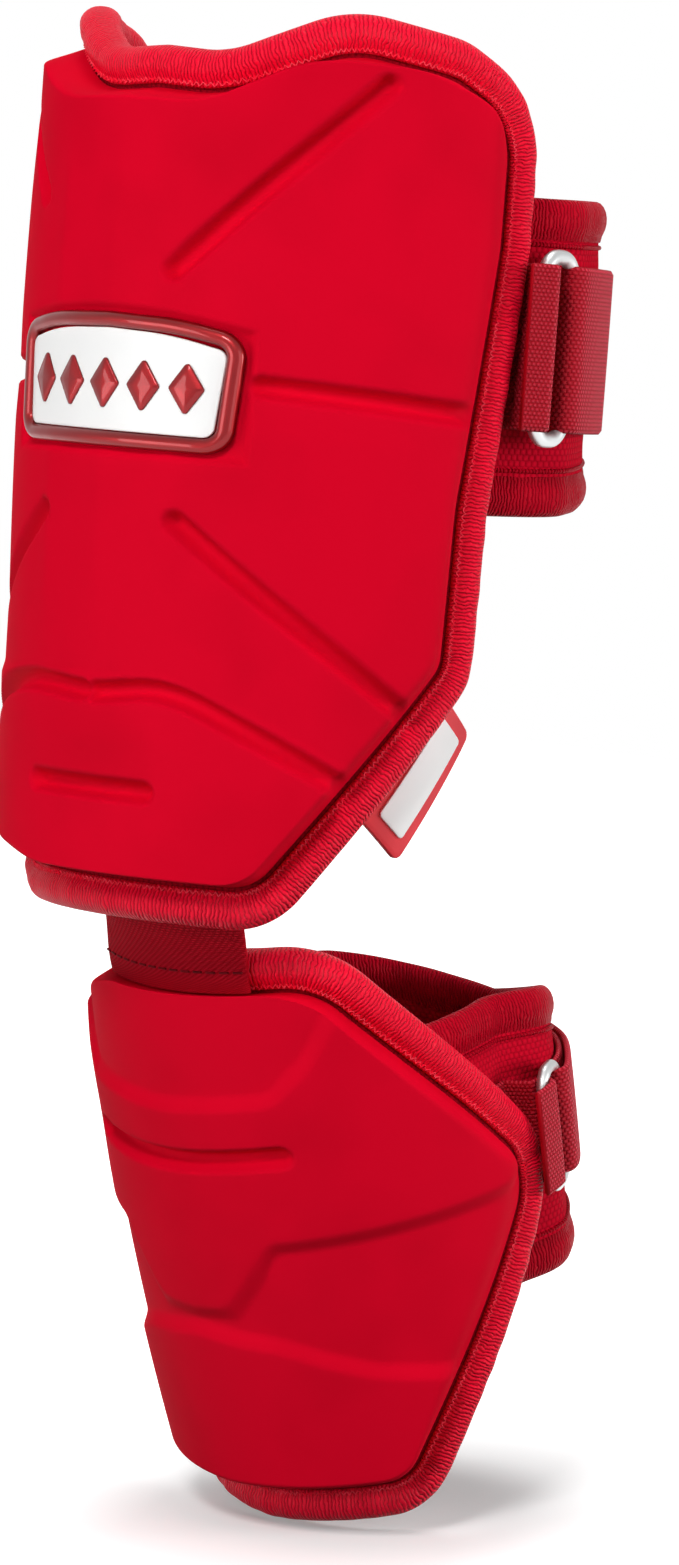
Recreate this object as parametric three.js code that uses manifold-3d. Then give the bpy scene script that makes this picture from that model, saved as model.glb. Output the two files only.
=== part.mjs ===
// A batter's elbow guard: a long upper shell and a short lower shell, joined at the elbow by an elastic link.
// Each shell is a padded backing in a bound edge with a moulded foam cap, closed round the arm by a bound strap
// and a webbing that turns back through a steel ring. Millimetres and degrees, +Z up, the front faces -Y.
// Origin: on the arm's axis at the elbow, between the two shells.
import * as THREE from "three";
import Module from "manifold-3d";
import { mergeVertices } from "three/addons/utils/BufferGeometryUtils.js";

const wasm = await Module();
wasm.setup();

// What both shells share
const backingThickness = 4;
const gap = 0.3; // clear air between pieces that touch
const facetAir = 0.3; // more of it where two curved sheets made of flat facets lie together
const bindingWall = 1.6;
const bindingLeg = 8; // how far the binding reaches over the panel
const capMargin = 1; // bare panel between the binding and the foot of the cap
const strapThickness = 3;
const strapBindingWall = 0.9;
const strapBindingLeg = 5;
const strapOverlap = 17; // length of strap sewn inside the shell
const strapBulge = 6; // how much deeper than round the strap stands at the back
const strapTaper = 1.4; // share of the mean radius in which the strap narrows past the shell's edge
const webbingThickness = 1.5;
const webbingClearance = 0.4;
const webbingTail = 8; // length of webbing sewn inside the shell
const webbingSettle = 22; // length in which the pulled webbing comes down from the ring to the layer under it

// The upper shell, over the elbow and upper arm
const upper = {
  prefix: "upper",
  bottom: 8, // its lower edge above the elbow, along its own axis
  height: 200,
  halfWrap: 91.5, // degrees from the front to its side edge
  radiusBottom: 54.3,
  radiusTop: 56,
  belly: 1.6,
  turn: 3.5, // degrees that the shell sits turned about its axis
  lean: 6,
  setBack: 0,
  capHeight: 10,
  strapWidth: 70,
  strapMiddle: 0.645, // share of the shell's height
  strapRise: 5, // how much the strap's lower edge rises towards the back
  strapDrop: -1.5,
  strapStep: 22, // length in which the strap steps out past the shell's edge
  ringAhead: 7.5, // ring's centre past the shell's side edge, round the arm
  ringWidth: 16.5,
  ringWire: 3.4,
  webbingWidth: 37,
  webbingMiddle: 0.658, // share of the shell's height
  anchorEnd: -4, // where the anchor's outer layer ends, past the shell's side edge
  anchorDrop: 1.5, // that end lies this much nearer the arm than the turn's top
  freeEnd: 205, // degrees round the arm where the webbing's free end lies
  // Bound edge and cap face: share of halfWrap, share of height, corner radius as share of height
  edge: [
    { around: 0, along: 0.955, corner: 0 },
    { around: 0.19, along: 0.95, corner: 0.14 },
    { around: 0.495, along: 1.006, corner: 0.15 },
    { around: 0.8, along: 0.982, corner: 0.12 },
    { around: 1.037, along: 0.925, corner: 0.12 },
    { around: 1.032, along: 0.76, corner: 0.2 },
    { around: 0.952, along: 0.47, corner: 0.3 },
    { around: 0.947, along: 0.285, corner: 0.08 },
    { around: 0.462, along: 0, corner: 0.1 },
    { around: 0, along: 0, corner: 0 },
  ],
  face: [
    { around: 0, along: 0.895, corner: 0 },
    { around: 0.185, along: 0.893, corner: 0.1 },
    { around: 0.42, along: 0.95, corner: 0.12 },
    { around: 0.63, along: 0.948, corner: 0.1 },
    { around: 0.797, along: 0.918, corner: 0.03 },
    { around: 0.797, along: 0.76, corner: 0.2 },
    { around: 0.763, along: 0.5, corner: 0.3 },
    { around: 0.757, along: 0.305, corner: 0.05 },
    { around: 0.395, along: 0.05, corner: 0.05 },
    { around: 0, along: 0.05, corner: 0 },
  ],
  sideFrom: 4,
  sideTo: 8,
  // Moulded grooves of the right half: shares of halfWrap and height at each bend
  grooves: [
    { mirrored: true, path: [[0.153, 0.713], [0.366, 0.82], [0.579, 0.927]] },
    { mirrored: true, path: [[0.364, 0.593], [0.6, 0.586], [0.84, 0.577]] },
    { mirrored: true, path: [[0.194, 0.44], [0.47, 0.338], [0.77, 0.232]] },
    { mirrored: true, path: [[0.022, 0.247], [0.197, 0.253], [0.38, 0.218], [0.64, 0.155]] },
    { mirrored: false, path: [[-0.158, 0.142], [-0.08, 0.142], [0.08, 0.142], [0.158, 0.142]] },
  ],
  pockets: [],
};

// The lower shell, over the forearm
const lower = {
  prefix: "lower",
  bottom: -125,
  height: 138,
  halfWrap: 103,
  radiusBottom: 40,
  radiusTop: 46,
  belly: 3,
  turn: 0,
  lean: -10.5,
  setBack: 16.5,
  capHeight: 10,
  strapWidth: 69,
  strapMiddle: 0.545,
  strapRise: 8,
  strapDrop: 9,
  strapStep: 17,
  ringAhead: 8.7,
  ringWidth: 13.5,
  ringWire: 2.8,
  webbingWidth: 25,
  webbingMiddle: 0.583,
  anchorEnd: 1.5,
  anchorDrop: 0,
  freeEnd: 200,
  edge: [
    { around: 0, along: 0.985, corner: 0 },
    { around: 0.47, along: 0.985, corner: 0.18 },
    { around: 1.14, along: 0.53, corner: 0.16 },
    { around: 0.56, along: -0.008, corner: 0.14 },
    { around: 0, along: -0.022, corner: 0 },
  ],
  face: [
    { around: 0, along: 0.935, corner: 0 },
    { around: 0.4, along: 0.935, corner: 0.14 },
    { around: 0.815, along: 0.58, corner: 0.04 },
    { around: 0.49, along: 0.085, corner: 0.06 },
    { around: 0, along: 0.075, corner: 0 },
  ],
  sideFrom: 1,
  sideTo: 3,
  grooves: [
    { mirrored: false, path: [[-0.31, 0.67], [-0.155, 0.67], [0, 0.67], [0.155, 0.67], [0.31, 0.67]] },
  ],
  // Sunk fields of the cap between two lines of points: shares of halfWrap and height
  pockets: [
    {
      sunk: 1.8,
      high: [[-0.56, 1.1], [-0.28, 1.1], [0, 1.1], [0.28, 1.1], [0.56, 1.1]],
      low: [[-0.5, 0.86], [-0.34, 0.765], [0, 0.755], [0.34, 0.765], [0.5, 0.86]],
    },
    {
      sunk: 2,
      high: [[-1.1, 0.545], [-0.6, 0.52], [-0.29, 0.515], [-0.2, 0.4], [0, 0.395],
        [0.2, 0.4], [0.29, 0.515], [0.6, 0.52], [1.1, 0.545]],
      low: [[-1.1, 0.23], [-0.6, 0.25], [-0.44, 0.28], [-0.2, 0.36], [0, 0.368],
        [0.2, 0.36], [0.44, 0.28], [0.6, 0.25], [1.1, 0.23]],
    },
  ],
};

// Grooves
const grooveFloor = 1.6;
const grooveMouth = 6;
const grooveDepth = 2.4;
const pocketDraft = 3;

// Badge on the upper cap
const badge = {
  halfWidth: 29.5, // along the sheet, less than on the face of the cap
  height: 29.5,
  middle: 0.589, // share of the upper shell's height
  arch: 3.5,
  corner: 6,
  inset: 1.8, // the sides close in by this much towards the bottom
  frameWidth: 3.4,
  frameThickness: 2.6,
  plateThickness: 1.5,
  recess: 1.6,
  recessMargin: 3,
  lozenges: 5,
  lozengeWidth: 7.4,
  lozengeHeight: 12,
  lozengeThickness: 1,
  lozengePitch: 9.2,
};

// Rubber tag at the upper shell's lower right edge
const tag = {
  length: 36,
  width: 19.5,
  thickness: 1.5,
  hidden: 3, // width behind the bound edge
  corner: 2,
  along: 0.29, // share of the slanting edge at the tag's middle
  panelLength: 28,
  panelWidth: 9,
  panelThickness: 0.6,
};

// Elastic link between the shells
const link = {
  width: 46,
  thickness: 1.8,
  tuck: 50, // how far its sewn end lies above the upper shell's lower edge
  sewn: 10, // length that lies on the upper panel
  free: 12, // length above the lower shell that keeps to that shell's round
};

// Mesh fineness
const cornerSteps = 2;
const panelColumns = 18;
const panelRows = 10;
const strapStations = 10;
const stripSteps = 10;
const grooveStep = 12;
const wireSides = 8;
const borderSteps = 8;
const pocketSteps = 16;
const turnSteps = 6;
const linkColumns = 4;
const linkRows = 8;

const toRadians = (degrees) => (degrees * Math.PI) / 180;
const mix = (a, b, t) => a + (b - a) * t;
const smooth = (t) => {
  const c = Math.min(1, Math.max(0, t));
  return c * c * (3 - 2 * c);
};

// A function of the shell that is worked out once for each shell.
function memo(work) {
  const known = new Map();
  return (shell) => {
    if (!known.has(shell)) known.set(shell, work(shell));
    return known.get(shell);
  };
}

// Sheet coordinates: x mm round the arm from the front, y mm above the shell's lower edge, out mm from the
// backing's outer face.
const meanRadius = (shell) => (shell.radiusBottom + shell.radiusTop) / 2 + (shell.belly * 2) / 3;
const halfWidth = (shell) => toRadians(shell.halfWrap) * meanRadius(shell);
const degreesToX = (shell, degrees) => toRadians(degrees) * meanRadius(shell);

function radiusAt(shell, y) {
  const t = y / shell.height;
  return mix(shell.radiusBottom, shell.radiusTop, t) + shell.belly * 4 * t * (1 - t);
}

function sheetPoint(shell, x, y, out) {
  const angle = x / meanRadius(shell) + toRadians(shell.turn);
  const radius = radiusAt(shell, y) + out;
  return new THREE.Vector3(radius * Math.sin(angle), -radius * Math.cos(angle), shell.bottom + y)
    .applyAxisAngle(new THREE.Vector3(1, 0, 0), -toRadians(shell.lean))
    .add(new THREE.Vector3(0, shell.setBack, 0));
}

// Outlines: corner tables become closed loops with the same number of points for the same number of rows.
function cornersOf(shell, table) {
  const right = table.map((row) => ({
    x: row.around * halfWidth(shell),
    y: row.along * shell.height,
    r: row.corner * shell.height,
  }));
  const left = right.slice(1, -1).reverse().map((c) => ({ x: -c.x, y: c.y, r: c.r }));
  return [...right, ...left];
}

function roundedLoop(corners, steps) {
  return corners.flatMap((corner, i) => {
    const here = new THREE.Vector2(corner.x, corner.y);
    if (!corner.r) return [here];
    const before = corners[(i + corners.length - 1) % corners.length];
    const after = corners[(i + 1) % corners.length];
    const back = new THREE.Vector2(before.x, before.y).sub(here).normalize();
    const forth = new THREE.Vector2(after.x, after.y).sub(here).normalize();
    const half = Math.acos(THREE.MathUtils.clamp(back.dot(forth), -1, 1)) / 2;
    const centre = back.clone().add(forth).normalize().multiplyScalar(corner.r / Math.sin(half)).add(here);
    const start = back.multiplyScalar(corner.r / Math.tan(half)).add(here).sub(centre);
    const end = forth.multiplyScalar(corner.r / Math.tan(half)).add(here).sub(centre);
    const turn = Math.atan2(start.cross(end), start.dot(end));
    return Array.from({ length: steps + 1 }, (_, k) =>
      start.clone().rotateAround(new THREE.Vector2(), (turn * k) / steps).add(centre));
  });
}

// Walks a polyline in equal steps, ends included.
function resample(points, steps) {
  const lengths = [0];
  points.forEach((p, i) => i && lengths.push(lengths[i - 1] + p.distanceTo(points[i - 1])));
  const total = lengths[lengths.length - 1];
  return Array.from({ length: steps + 1 }, (_, k) => {
    const want = (total * k) / steps;
    let i = 1;
    while (i < points.length - 1 && lengths[i] < want) i++;
    const t = (want - lengths[i - 1]) / (lengths[i] - lengths[i - 1]);
    return points[i - 1].clone().lerp(points[i], t);
  });
}

// The four sides of a panel's outline, split at the middles of two corners and their mirror images.
function fourSides(shell, table) {
  const steps = borderSteps;
  const corners = cornersOf(shell, table);
  const loop = roundedLoop(corners, steps);
  const middleOf = (index) => {
    let at = 0;
    for (let i = 0; i < index; i++) at += corners[i].r ? steps + 1 : 1;
    return at + steps / 2;
  };
  const topRight = middleOf(shell.sideFrom);
  const bottomRight = middleOf(shell.sideTo);
  const rightSide = loop.slice(topRight, bottomRight + 1);
  const flip = (p) => new THREE.Vector2(-p.x, p.y);
  const topHalf = loop.slice(0, topRight + 1);
  const top = [...topHalf.slice(1).reverse().map(flip), ...topHalf];
  const bottomHalf = loop.slice(bottomRight, loop.findIndex((p, i) => i > bottomRight && p.x <= 1e-9) + 1);
  const bottom = [...bottomHalf, ...bottomHalf.slice(0, -1).reverse().map(flip)];
  return {
    top: resample(top, panelColumns),
    right: resample(rightSide, panelRows),
    bottom: resample(bottom, panelColumns).reverse(),
    left: resample(rightSide.map(flip), panelRows),
  };
}

// Coons patch between four sides: rows from the top down, columns from left to right.
function fillSides({ top, right, bottom, left }) {
  return left.map((leftPoint, j) => {
    const v = j / panelRows;
    return top.map((topPoint, i) => {
      const u = i / panelColumns;
      const along = (axis) =>
        mix(topPoint[axis], bottom[i][axis], v) + mix(leftPoint[axis], right[j][axis], u) -
        mix(mix(top[0][axis], top[panelColumns][axis], u), mix(bottom[0][axis], bottom[panelColumns][axis], u), v);
      return new THREE.Vector2(along("x"), along("y"));
    });
  });
}

// The outline of a filled patch as one loop, clockwise from its top left corner.
function borderOf(patch) {
  const last = patch.length - 1;
  const end = patch[0].length - 1;
  return [
    ...patch[0].slice(0, -1),
    ...patch.slice(0, -1).map((row) => row[end]),
    ...patch[last].slice(1).reverse(),
    ...patch.slice(1).reverse().map((row) => row[0]),
  ];
}

function insetLoop(loop, distance) {
  return loop.map((point, i) => {
    const before = loop[(i + loop.length - 1) % loop.length];
    const after = loop[(i + 1) % loop.length];
    const along = after.clone().sub(before).normalize();
    return new THREE.Vector2(point.x + along.y * distance, point.y - along.x * distance);
  });
}

// A list of triangles that grows by quads, and becomes a geometry or a solid.
class Skin {
  constructor() {
    this.positions = [];
  }
  triangle(a, b, c) {
    [a, b, c].forEach((p) => this.positions.push(p.x, p.y, p.z));
  }
  // split along its shorter diagonal, so that the left and right halves of a piece match
  quad(a, b, c, d) {
    if (a.distanceTo(c) < b.distanceTo(d) + 1e-4) {
      this.triangle(a, b, c);
      this.triangle(a, c, d);
    } else {
      this.triangle(a, b, d);
      this.triangle(b, c, d);
    }
  }
  // rings of equal length, joined one to the next
  tube(rings, closed) {
    const count = closed ? rings.length : rings.length - 1;
    for (let k = 0; k < count; k++) {
      const ring = rings[k];
      const next = rings[(k + 1) % rings.length];
      ring.forEach((point, i) => {
        const j = (i + 1) % ring.length;
        this.quad(point, ring[j], next[j], next[i]);
      });
    }
  }
  sheet(grid, flipped) {
    for (let j = 0; j + 1 < grid.length; j++) {
      for (let i = 0; i + 1 < grid[j].length; i++) {
        const corners = [grid[j][i], grid[j + 1][i], grid[j + 1][i + 1], grid[j][i + 1]];
        if (flipped) corners.reverse();
        this.quad(...corners);
      }
    }
  }
  geometry() {
    const made = new THREE.BufferGeometry();
    made.setAttribute("position", new THREE.Float32BufferAttribute(this.positions, 3));
    const merged = mergeVertices(made, 1e-3);
    return solidOf(merged).volume() < 0 ? turnedOut(merged) : merged;
  }
}

function turnedOut(geometry) {
  const index = Array.from(geometry.index.array);
  for (let i = 0; i < index.length; i += 3) [index[i + 1], index[i + 2]] = [index[i + 2], index[i + 1]];
  geometry.setIndex(index);
  return geometry;
}

function solidOf(geometry) {
  const bare = geometry.clone();
  bare.deleteAttribute("normal");
  bare.deleteAttribute("uv");
  const merged = mergeVertices(bare, 1e-3);
  return new wasm.Manifold(new wasm.Mesh({
    numProp: 3,
    vertProperties: new Float32Array(merged.getAttribute("position").array),
    triVerts: new Uint32Array(merged.index.array),
  }));
}

function geometryOf(solid) {
  const mesh = solid.getMesh();
  const made = new THREE.BufferGeometry();
  made.setAttribute("position", new THREE.BufferAttribute(mesh.vertProperties, 3));
  made.setIndex(new THREE.BufferAttribute(mesh.triVerts, 1));
  return made;
}

const cut = (geometry, cutters) =>
  geometryOf(cutters.reduce((solid, cutter) => solid.subtract(solidOf(cutter)), solidOf(geometry)));

// A slab between two patches of the sheet, joined by rims that run between their borders.
function slab(shell, inner, outer, rims) {
  const lift = (patch, out) => patch.map((row) => row.map((p) => sheetPoint(shell, p.x, p.y, out)));
  const skin = new Skin();
  skin.sheet(lift(inner.patch, inner.out), true);
  skin.sheet(lift(outer.patch, outer.out), false);
  const from = borderOf(inner.patch);
  const to = borderOf(outer.patch);
  const rings = [{ share: 1, out: outer.out }, ...rims, { share: 0, out: inner.out }].map(({ share, out }) =>
    from.map((point, i) => {
      const p = point.clone().lerp(to[i], share);
      return sheetPoint(shell, p.x, p.y, out);
    }));
  skin.tube(rings, false);
  return skin.geometry();
}

// A patch whose border keeps a fixed distance inside another outline's border.
function insetPatch(sides, distance) {
  const border = insetLoop(borderOf(fillSides(sides)), distance);
  const c = panelColumns;
  const r = panelRows;
  return fillSides({
    top: border.slice(0, c + 1),
    right: border.slice(c, c + r + 1),
    bottom: border.slice(c + r, 2 * c + r + 1).reverse(),
    left: [...border.slice(2 * c + r), border[0]].reverse(),
  });
}

// A channel over the edge of a sheet: points (depth inwards, height over the sheet's middle).
function channelSection(leg, wall, sheetThickness, air, bevel) {
  const slot = sheetThickness / 2 + air;
  const half = slot + wall;
  const floor = channelFloor(wall);
  const nose = bevel ? [[bevel, half], [0, half - bevel], [0, bevel - half], [bevel, -half]] : [[0, half], [0, -half]];
  return [
    [leg, half - wall / 2],
    ...nose,
    [leg, wall / 2 - half],
    [leg, -slot],
    [floor, -slot],
    [floor, slot],
    [leg, slot],
  ];
}

const channelFloor = (wall) => wall * 1.1;

// Sweeps a section along places on the sheet. A place has x, y and out, the direction inX, inY of the section's
// depth, and the direction riseX, riseOut of its height.
function sweep(shell, places, section, closed) {
  const rings = places.map(({ x, y, out, inX, inY, riseX, riseOut }) =>
    section.map(([depth, rise]) =>
      sheetPoint(shell, x + inX * depth + riseX * rise, y + inY * depth, out + riseOut * rise)));
  const skin = new Skin();
  skin.tube(rings, closed);
  if (!closed) {
    const flat = section.map(([depth, rise]) => new THREE.Vector2(depth, rise));
    const turn = THREE.ShapeUtils.isClockWise(flat);
    const end = rings[rings.length - 1];
    THREE.ShapeUtils.triangulateShape(flat, []).forEach((triangle) => {
      const same = THREE.ShapeUtils.isClockWise(triangle.map((i) => flat[i])) === turn;
      const [a, b, c] = same ? triangle : triangle.slice().reverse();
      skin.triangle(rings[0][c], rings[0][b], rings[0][a]);
      skin.triangle(end[a], end[b], end[c]);
    });
  }
  return skin.geometry();
}

// Panel pieces
function backingGeometry(shell) {
  const patch = insetPatch(fourSides(shell, shell.edge), channelFloor(bindingWall) + gap);
  return slab(shell, { patch, out: -backingThickness }, { patch, out: 0 }, []);
}

function bindingGeometry(shell) {
  const loop = borderOf(fillSides(fourSides(shell, shell.edge)));
  const inside = insetLoop(loop, 1);
  const places = loop.map((p, i) => ({
    x: p.x,
    y: p.y,
    out: -backingThickness / 2,
    inX: inside[i].x - p.x,
    inY: inside[i].y - p.y,
    riseX: 0,
    riseOut: 1,
  }));
  return sweep(shell, places, channelSection(bindingLeg, bindingWall, backingThickness, gap + facetAir, bindingWall), true);
}

// A cutter that runs along stations on the sheet, each a pair of floor points with the mouth wider by draft.
function channelCutter(shell, stations, floorOut, mouthOut, draft) {
  const rings = stations.map(([high, low]) => {
    const across = high.clone().sub(low).normalize().multiplyScalar(draft);
    return [
      [high, floorOut], [high.clone().add(across), mouthOut], [low.clone().sub(across), mouthOut], [low, floorOut],
    ].map(([p, out]) => sheetPoint(shell, p.x, p.y, out));
  });
  const skin = new Skin();
  skin.tube(rings, false);
  skin.quad(...rings[0].slice().reverse());
  skin.quad(...rings[rings.length - 1]);
  return skin.geometry();
}

function grooveCutters(shell) {
  const spread = (grooveMouth - grooveFloor) / 2;
  const overshoot = 1;
  const draft = (spread * (grooveDepth + overshoot)) / grooveDepth;
  const scale = ([around, along]) => new THREE.Vector2(around * halfWidth(shell), along * shell.height);
  return shell.grooves.flatMap(({ mirrored, path }) => {
    const right = path.map(scale);
    const runs = mirrored ? [right, right.map((p) => new THREE.Vector2(-p.x, p.y)).reverse()] : [right];
    return runs.map((run) => {
      const length = run.reduce((sum, p, i) => (i ? sum + p.distanceTo(run[i - 1]) : 0), 0);
      const points = resample(run, Math.ceil(length / grooveStep));
      const stations = points.map((p, i) => {
        const along = points[Math.min(i + 1, points.length - 1)].clone().sub(points[Math.max(i - 1, 0)]).normalize();
        const side = new THREE.Vector2(-along.y, along.x).multiplyScalar(grooveFloor / 2);
        return [p.clone().add(side), p.clone().sub(side)];
      });
      return channelCutter(shell, stations, shell.capHeight - grooveDepth, shell.capHeight + overshoot, draft);
    });
  });
}

function pocketCutters(shell) {
  const steps = pocketSteps;
  const overshoot = 2;
  const scale = ([around, along]) => new THREE.Vector2(around * halfWidth(shell), along * shell.height);
  return shell.pockets.map(({ sunk, high, low }) => {
    const highLine = high.map(scale);
    const lowLine = low.map(scale);
    const between = (line, k) => {
      const at = (k / steps) * (line.length - 1);
      const i = Math.min(Math.floor(at), line.length - 2);
      return line[i].clone().lerp(line[i + 1], at - i);
    };
    const stations = Array.from({ length: steps + 1 }, (_, k) => [between(highLine, k), between(lowLine, k)]);
    return channelCutter(shell, stations, shell.capHeight - sunk, shell.capHeight + overshoot,
      (pocketDraft * (sunk + overshoot)) / sunk / 2);
  });
}

function capGeometry(shell, extraCutters) {
  const inner = insetPatch(fourSides(shell, shell.edge), bindingLeg + capMargin);
  const outer = fillSides(fourSides(shell, shell.face));
  const foot = gap + facetAir;
  const rims = [
    { share: 0.42, out: mix(foot, shell.capHeight, 0.85) },
    { share: 0.08, out: mix(foot, shell.capHeight, 0.35) },
  ];
  const body = slab(shell, { patch: inner, out: foot }, { patch: outer, out: shell.capHeight }, rims);
  return cut(body, [...grooveCutters(shell), ...pocketCutters(shell), ...extraCutters]);
}

// Strap round the back of the arm, with bound edges. Inside the shell a layer of webbing fits over it.
const bindingInner = -(backingThickness + gap + facetAir + bindingWall);
const webbingOverStrap = strapThickness / 2 + webbingClearance + webbingThickness / 2;
const strapInside = bindingInner - facetAir - webbingClearance - webbingThickness / 2 - webbingOverStrap;
const strapOutside = 0.5;

// x of the shell's bound edge at a height
function edgeX(shell, y) {
  const side = fourSides(shell, shell.edge).right;
  const i = Math.max(1, side.findIndex((p) => p.y <= y));
  return mix(side[i - 1].x, side[i].x, (y - side[i - 1].y) / (side[i].y - side[i - 1].y));
}

// x of the side edge where the webbing passes it
const sideX = memo((shell) => {
  const middle = shell.webbingMiddle * shell.height;
  return Math.max(...[-0.5, -0.25, 0, 0.25, 0.5].map((share) => edgeX(shell, middle + share * shell.webbingWidth)));
});

const strapStartX = memo((shell) => {
  const middle = shell.strapMiddle * shell.height;
  return Math.min(...[-0.5, 0.5].map((share) => edgeX(shell, middle + share * shell.strapWidth))) - strapOverlap;
});

const farSide = (shell, x) => degreesToX(shell, 360) - x;

// Middle surface of the strap above the backing's outer face, x mm round the arm
function strapOut(shell, x) {
  const fromFront = Math.min(x, farSide(shell, x));
  const past = fromFront - sideX(shell);
  const deep = Math.max(0, -Math.cos(fromFront / meanRadius(shell))) ** 2;
  return mix(strapInside, strapOutside, smooth((past - 1) / shell.strapStep)) + strapBulge * deep;
}

// Height of the strap's two edges
function strapEdges(shell, x) {
  const past = Math.min(x, farSide(shell, x)) - sideX(shell);
  const share = smooth(past / (meanRadius(shell) * strapTaper));
  const middle = shell.strapMiddle * shell.height;
  return {
    low: middle - shell.strapWidth / 2 + shell.strapRise * share,
    high: middle + shell.strapWidth / 2 - shell.strapDrop * share,
  };
}

const stepXs = (shell) => [0, 1 / 3, 2 / 3, 1].map((share) => sideX(shell) + 1 + share * shell.strapStep);

function strapXs(shell) {
  const start = strapStartX(shell);
  const near = [start, mix(start, sideX(shell), 0.5), ...stepXs(shell)];
  const far = near.map((x) => farSide(shell, x)).reverse();
  const from = near[near.length - 1];
  const middle = Array.from({ length: strapStations - 1 }, (_, k) => mix(from, far[0], (k + 1) / strapStations));
  return [...near, ...middle, ...far];
}

// A line in x and out, moved sideways
const normals = (line) => line.map((_, i) => {
  const along = line[Math.min(i + 1, line.length - 1)].clone().sub(line[Math.max(i - 1, 0)]).normalize();
  return new THREE.Vector2(-along.y, along.x);
});
const offsetLine = (line, distance) => {
  const sides = normals(line);
  return line.map((p, i) => p.clone().addScaledVector(sides[i], distance));
};

// A ribbon along a line in x and out, between two heights that depend on x
function ribbon(shell, line, thickness, heightsAt) {
  const inner = offsetLine(line, -thickness / 2);
  const outer = offsetLine(line, thickness / 2);
  const rings = line.map((p, i) => {
    const [low, high] = heightsAt(p.x);
    return [
      sheetPoint(shell, inner[i].x, low, inner[i].y),
      sheetPoint(shell, inner[i].x, high, inner[i].y),
      sheetPoint(shell, outer[i].x, high, outer[i].y),
      sheetPoint(shell, outer[i].x, low, outer[i].y),
    ];
  });
  const skin = new Skin();
  skin.tube(rings, false);
  skin.quad(...rings[0].slice().reverse());
  skin.quad(...rings[rings.length - 1]);
  return skin.geometry();
}

const strapLine = memo((shell) => strapXs(shell).map((x) => new THREE.Vector2(x, strapOut(shell, x))));

function strapGeometry(shell) {
  const edgeGap = channelFloor(strapBindingWall) + gap;
  return ribbon(shell, strapLine(shell), strapThickness, (x) => {
    const { low, high } = strapEdges(shell, x);
    return [low + edgeGap, high - edgeGap];
  });
}

function strapBindingGeometry(shell, side) {
  const line = strapLine(shell);
  const rises = normals(line);
  const places = line.map((p, i) => ({
    x: p.x,
    y: strapEdges(shell, p.x)[side],
    out: p.y,
    inX: 0,
    inY: side === "low" ? 1 : -1,
    riseX: rises[i].x,
    riseOut: rises[i].y,
  }));
  return sweep(shell, places, channelSection(strapBindingLeg, strapBindingWall, strapThickness, gap, 0), false);
}

const webbingFace = (shell, x) => strapOut(shell, x) + webbingOverStrap;
const barTurn = (shell) => shell.ringWire / 2 + webbingClearance + webbingThickness / 2;

// The ring stands tangent to the arm, on the layer of webbing under it; its two bars run along the arm.
const ringPlace = memo((shell) => {
  const y = shell.webbingMiddle * shell.height;
  const x = sideX(shell) + shell.ringAhead;
  const lift = webbingFace(shell, x + shell.ringWidth / 2) + barTurn(shell);
  const centre = sheetPoint(shell, x, y, lift);
  const up = sheetPoint(shell, x, y + 1, lift).sub(sheetPoint(shell, x, y - 1, lift)).normalize();
  const outward = sheetPoint(shell, x, y, lift + 1).sub(centre);
  const sideways = new THREE.Vector3().crossVectors(up, outward).normalize();
  outward.crossVectors(sideways, up).normalize();
  const barReach = (shell.ringWidth - shell.ringWire) / 2;
  const radius = radiusAt(shell, y) + lift;
  const barX = Math.atan(barReach / radius) * meanRadius(shell);
  return {
    centre,
    sideways,
    up,
    outward,
    barReach,
    nearBarX: x - barX,
    farBarX: x + barX,
    barLift: lift + Math.hypot(radius, barReach) - radius,
  };
});

function roundedRectanglePath(width, height, corner) {
  const x = width / 2;
  const y = height / 2;
  const shape = new THREE.Shape();
  shape.moveTo(x, y - corner).absarc(x - corner, y - corner, corner, 0, Math.PI / 2);
  shape.absarc(corner - x, y - corner, corner, Math.PI / 2, Math.PI);
  shape.absarc(corner - x, corner - y, corner, Math.PI, 1.5 * Math.PI);
  shape.absarc(x - corner, corner - y, corner, 1.5 * Math.PI, 2 * Math.PI);
  return shape;
}

function ringGeometry(shell) {
  const place = ringPlace(shell);
  const wire = shell.ringWire / 2;
  const corner = shell.ringWire;
  const intoCorner = Math.sqrt(corner * webbingClearance - (webbingClearance / 2) ** 2);
  const length = shell.webbingWidth + 2 * (corner - intoCorner);
  const loop = roundedRectanglePath(2 * place.barReach, length, corner).getPoints(2);
  const rings = loop.map((p, i) => {
    const before = loop[(i + loop.length - 1) % loop.length];
    const after = loop[(i + 1) % loop.length];
    const along = after.clone().sub(before).normalize();
    return Array.from({ length: wireSides }, (_, k) => {
      const angle = (2 * Math.PI * k) / wireSides;
      const reach = wire * Math.cos(angle);
      return place.centre.clone()
        .addScaledVector(place.sideways, p.x + along.y * reach)
        .addScaledVector(place.up, p.y - along.x * reach)
        .addScaledVector(place.outward, wire * Math.sin(angle));
    });
  });
  const unique = rings.filter((ring, i) => ring[0].distanceTo(rings[(i + 1) % rings.length][0]) > 0.05);
  const skin = new Skin();
  skin.tube(unique, true);
  return skin.geometry();
}

function webbingGeometry(shell, line) {
  const middle = shell.webbingMiddle * shell.height;
  const half = shell.webbingWidth / 2;
  return ribbon(shell, line, webbingThickness, () => [middle - half, middle + half]);
}

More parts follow.
